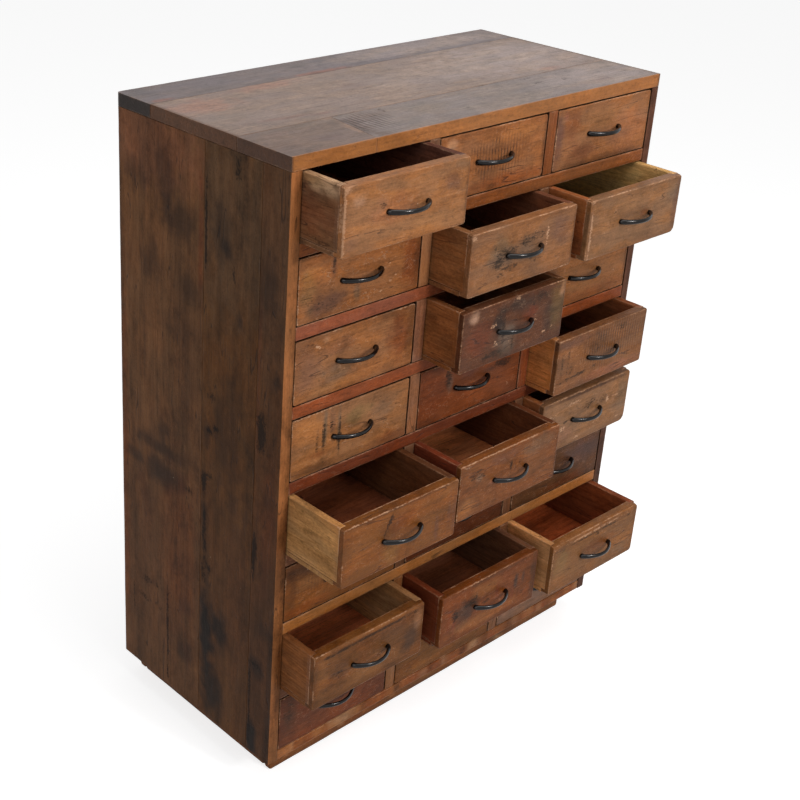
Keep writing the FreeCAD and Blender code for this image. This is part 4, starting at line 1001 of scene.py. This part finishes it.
        ("bare", 205, 5, 60, 4, 0.5))},
    "R8": {"front": "7d5b46"},
}


def drawerPlace(name):
    # middle of the drawer's lower front edge
    x = innerLeft + chest["opening"][0] / 2 + "LMR".index(name[0]) * columnPitch
    return x, front - out.get(name, 0), rowFloor(int(name[1])) + drawer["lift"]


def makeDrawer(name):
    column, row = "LMR".index(name[0]), int(name[1])
    looks = {**plainDrawer, **drawerLooks[name]}
    mesh = master.data.copy()
    box = bpy.data.objects.new("drawer_box_" + name, mesh)
    bpy.context.scene.collection.objects.link(box)
    which = np.array([d.value for d in mesh.attributes["drawerBoard"].data])
    mesh.attributes.remove(mesh.attributes["drawerBoard"])
    wearFront(mesh, which == 0, looks["corners"], looks["chips"], 10 * row + column)
    mesh.transform(Matrix.Translation([v * mm for v in drawerPlace(name)]))
    salt = boardNumber["drawers"] + 10 * row + 100 * column
    inBoard, halves = take(mesh, place), take(mesh, half)
    colours = np.zeros((len(which), 4))
    fields = np.zeros((len(which), 4))
    for number, board in enumerate(boards):
        chosen = which == number
        spots = (inBoard[chosen] + halves[chosen])[:, :2] / mm
        colours[chosen], fields[chosen] = colourBoard(spots, looks[board], looks.get(board + "Spots", ()),
                                                      salt + number)
    onBottom = which == list(boards).index("bottom")
    rim = onBottom & (halves[:, 0] - np.abs(inBoard[:, 0]) < 0.7 * mm)  # its edges match the walls
    colours[rim] = linear(looks["left"])
    if name not in out:  # painted shade on the edge faces of a shut front, down in the gap round it
        edge = (np.abs(np.abs(inBoard[:, :2]) - halves[:, :2]) < skin * mm).any(axis=1)
        colours[edge & (which == 0)] = linear(frameTones["gap"])
    put(mesh, seed, "FLOAT", salt + which)
    put(mesh, paint, "FLOAT_COLOR", colours)
    put(mesh, marks, "FLOAT_COLOR", fields)
    weather(box, wear["drawerDent"])
    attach(box, "body_" + name)
    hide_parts("drawer_" + name)


names = [letter + str(row) for letter in "LMR" for row in range(1, 9)]
for name in names:
    makeDrawer(name)
bpy.data.objects.remove(master)
print("drawers built")

# pulls

pull = {"raise": 1, "sides": 12, "rings": (  # mm: x, y, degrees turned from the drawer, height, thickness
    (-44.3, 1.2, 0, 9.6, 10.2), (-44.3, -1.0, 0, 10.4, 11.0), (-43.9, -3.4, 12, 10.5, 10.6),
    (-42.2, -6.2, 33, 10.5, 9.2), (-38.2, -9.6, 46, 10.2, 7.8), (-30.4, -15.0, 55, 9.6, 6.9),
    (-22.0, -19.3, 66, 9.0, 6.4), (-12.0, -22.4, 78, 8.5, 6.2), (0.0, -23.8, 90, 8.3, 6.1))}


def makePull():
    # half of the bow: a ring is carried from the foot out to the middle, then mirrored
    selectNothing()
    bpy.ops.mesh.primitive_circle_add(vertices=pull["sides"], radius=0.5, fill_type="NGON",
                                      rotation=(math.pi / 2, 0, 0))
    bow = bpy.context.object
    bpy.ops.object.transform_apply(location=True, rotation=True, scale=True)
    bpy.ops.object.mode_set(mode="EDIT")
    bpy.ops.mesh.select_all(action="SELECT")
    lastX, lastY, lastTurn, lastHigh, lastThick = 0.0, 0.0, 0.0, 1 / mm, 1 / mm
    for number, (x, y, turn, high, thick) in enumerate(pull["rings"]):
        move = ((x - lastX) * mm, (y - lastY) * mm, 0)
        if number:
            bpy.ops.mesh.extrude_region_move(TRANSFORM_OT_translate={"value": move})
        else:
            bpy.ops.transform.translate(value=move)
        spot = (x * mm, y * mm, 0)
        bpy.ops.transform.rotate(value=math.radians(lastTurn), orient_axis="Z", center_override=spot)
        bpy.ops.transform.resize(value=(thick / lastThick, 1, high / lastHigh), center_override=spot)
        bpy.ops.transform.rotate(value=-math.radians(turn), orient_axis="Z", center_override=spot)
        lastX, lastY, lastTurn, lastHigh, lastThick = x, y, turn, high, thick
    bpy.ops.mesh.delete(type="ONLY_FACE")
    bpy.ops.object.mode_set(mode="OBJECT")
    mirror = bow.modifiers.new("other_half", "MIRROR")
    mirror.use_clip = True
    mirror.merge_threshold = 0.0002
    rounding = bow.modifiers.new("rounded", "SUBSURF")
    rounding.levels = rounding.render_levels = 2
    applyAll(bow)
    bpy.ops.object.mode_set(mode="EDIT")
    bpy.ops.mesh.select_all(action="SELECT")
    bpy.ops.mesh.normals_make_consistent(inside=False)
    bpy.ops.object.mode_set(mode="OBJECT")
    bpy.ops.object.shade_smooth()
    bow.data.materials.append(iron)
    return bow


bowPull = makePull()
for name in names:
    x, y, z = drawerPlace(name)
    z += boxHigh / 2 + pull["raise"]
    bow = bpy.data.objects.new("bow_pull_" + name, bowPull.data.copy())
    bpy.context.scene.collection.objects.link(bow)
    bow.data.transform(Matrix.Translation((x * mm, y * mm, z * mm)))
    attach(bow, "body_" + name)
    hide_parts("pull_" + name)
bpy.data.objects.remove(bowPull)
print("pulls fitted")

# stage, light and camera

selectNothing()
bpy.ops.mesh.primitive_plane_add(size=60, location=(0, 0, 0))
floorPlane = bpy.context.object
floorPlane.name = "studio_floor"
paper = {"tone": "c8c8c8", "toCamera": 0.72, "inGloss": 0.4}
sky = {"light": 0.35, "seen": 1.0}


def makeFloor():
    # matt pale paper, to the eye a lit backdrop: its glow brings it to white, and a shadow still darkens it
    material, tree = newMaterial("matt_pale_paper")
    diffuse = addNode(tree, "BsdfDiffuse", {"Color": linear(paper["tone"])})
    rays = addNode(tree, "LightPath", {}).node.outputs
    glossy, through = rays["Is Glossy Ray"], rays["Is Transmission Ray"]
    glow = addNode(tree, "Math", {"operation": "MAXIMUM", 0: glossy, 1: through})
    glow = addNode(tree, "Math", {**times, 0: glow, 1: paper["inGloss"]})
    glow = addNode(tree, "Math", {**timesPlus, 0: rays["Is Camera Ray"], 1: paper["toCamera"], 2: glow})
    glow = addNode(tree, "Emission", {"Strength": glow})
    both = addNode(tree, "AddShader", {0: diffuse, 1: glow})
    addNode(tree, "OutputMaterial", {0: both})
    return material


floorPlane.data.materials.append(makeFloor())

world = bpy.data.worlds.new("studio")
bpy.context.scene.world = world
world.use_nodes = True
tree = world.node_tree
tree.nodes.clear()
rays = addNode(tree, "LightPath", {}).node.outputs
seen = addNode(tree, "Math", {"operation": "MAXIMUM", 0: rays["Is Camera Ray"], 1: rays["Is Glossy Ray"]})
seen = addNode(tree, "Math", {"operation": "MAXIMUM", 0: seen, 1: rays["Is Transmission Ray"]})
level = addNode(tree, "MapRange", {0: seen, 3: sky["light"], 4: sky["seen"]})
glow = addNode(tree, "Background", {"Color": (1, 1, 1, 1), "Strength": level})
addNode(tree, "OutputWorld", {0: glow})

lamps = {
    "front_softbox": {"at": (0.3, -3.8, 2.4), "aim": (0, 0, 0.7), "size": 1.3, "power": 46},
    "front_lamp": {"at": (0.2, -3.6, 2.3), "aim": (0, 0, 0.7), "size": 0.32, "power": 28},
    "left_softbox": {"at": (-3.4, -1.6, 2.6), "aim": (0, 0, 0.7), "size": 2.0, "power": 28},
    "overhead_softbox": {"at": (0.2, -0.9, 3.5), "aim": (0, -0.1, 0.8), "size": 2.2, "power": 42},
}
for name, lamp in lamps.items():
    light = bpy.data.lights.new(name, "AREA")
    light.shape = "SQUARE"
    light.size = lamp["size"]
    light.energy = lamp["power"]
    holder = bpy.data.objects.new(name, light)
    bpy.context.scene.collection.objects.link(holder)
    holder.location = lamp["at"]
    holder.rotation_euler = (Vector(lamp["aim"]) - Vector(lamp["at"])).to_track_quat("-Z", "Y").to_euler()

view = {"at": (-1.8563, -1.7488, 1.8722), "turn": (64.651, -2.190, -41.501), "lens": 63.216,
        "shift": (0.1378, -0.0501)}
camera = bpy.data.cameras.new("camera")
camera.lens = view["lens"]
camera.sensor_width = 36
camera.shift_x, camera.shift_y = view["shift"]
eye = bpy.data.objects.new("camera", camera)
bpy.context.scene.collection.objects.link(eye)
eye.location = view["at"]
eye.rotation_euler = [math.radians(v) for v in view["turn"]]
bpy.context.scene.camera = eye
bpy.context.scene.view_settings.view_transform = "Standard"

print("stage set")
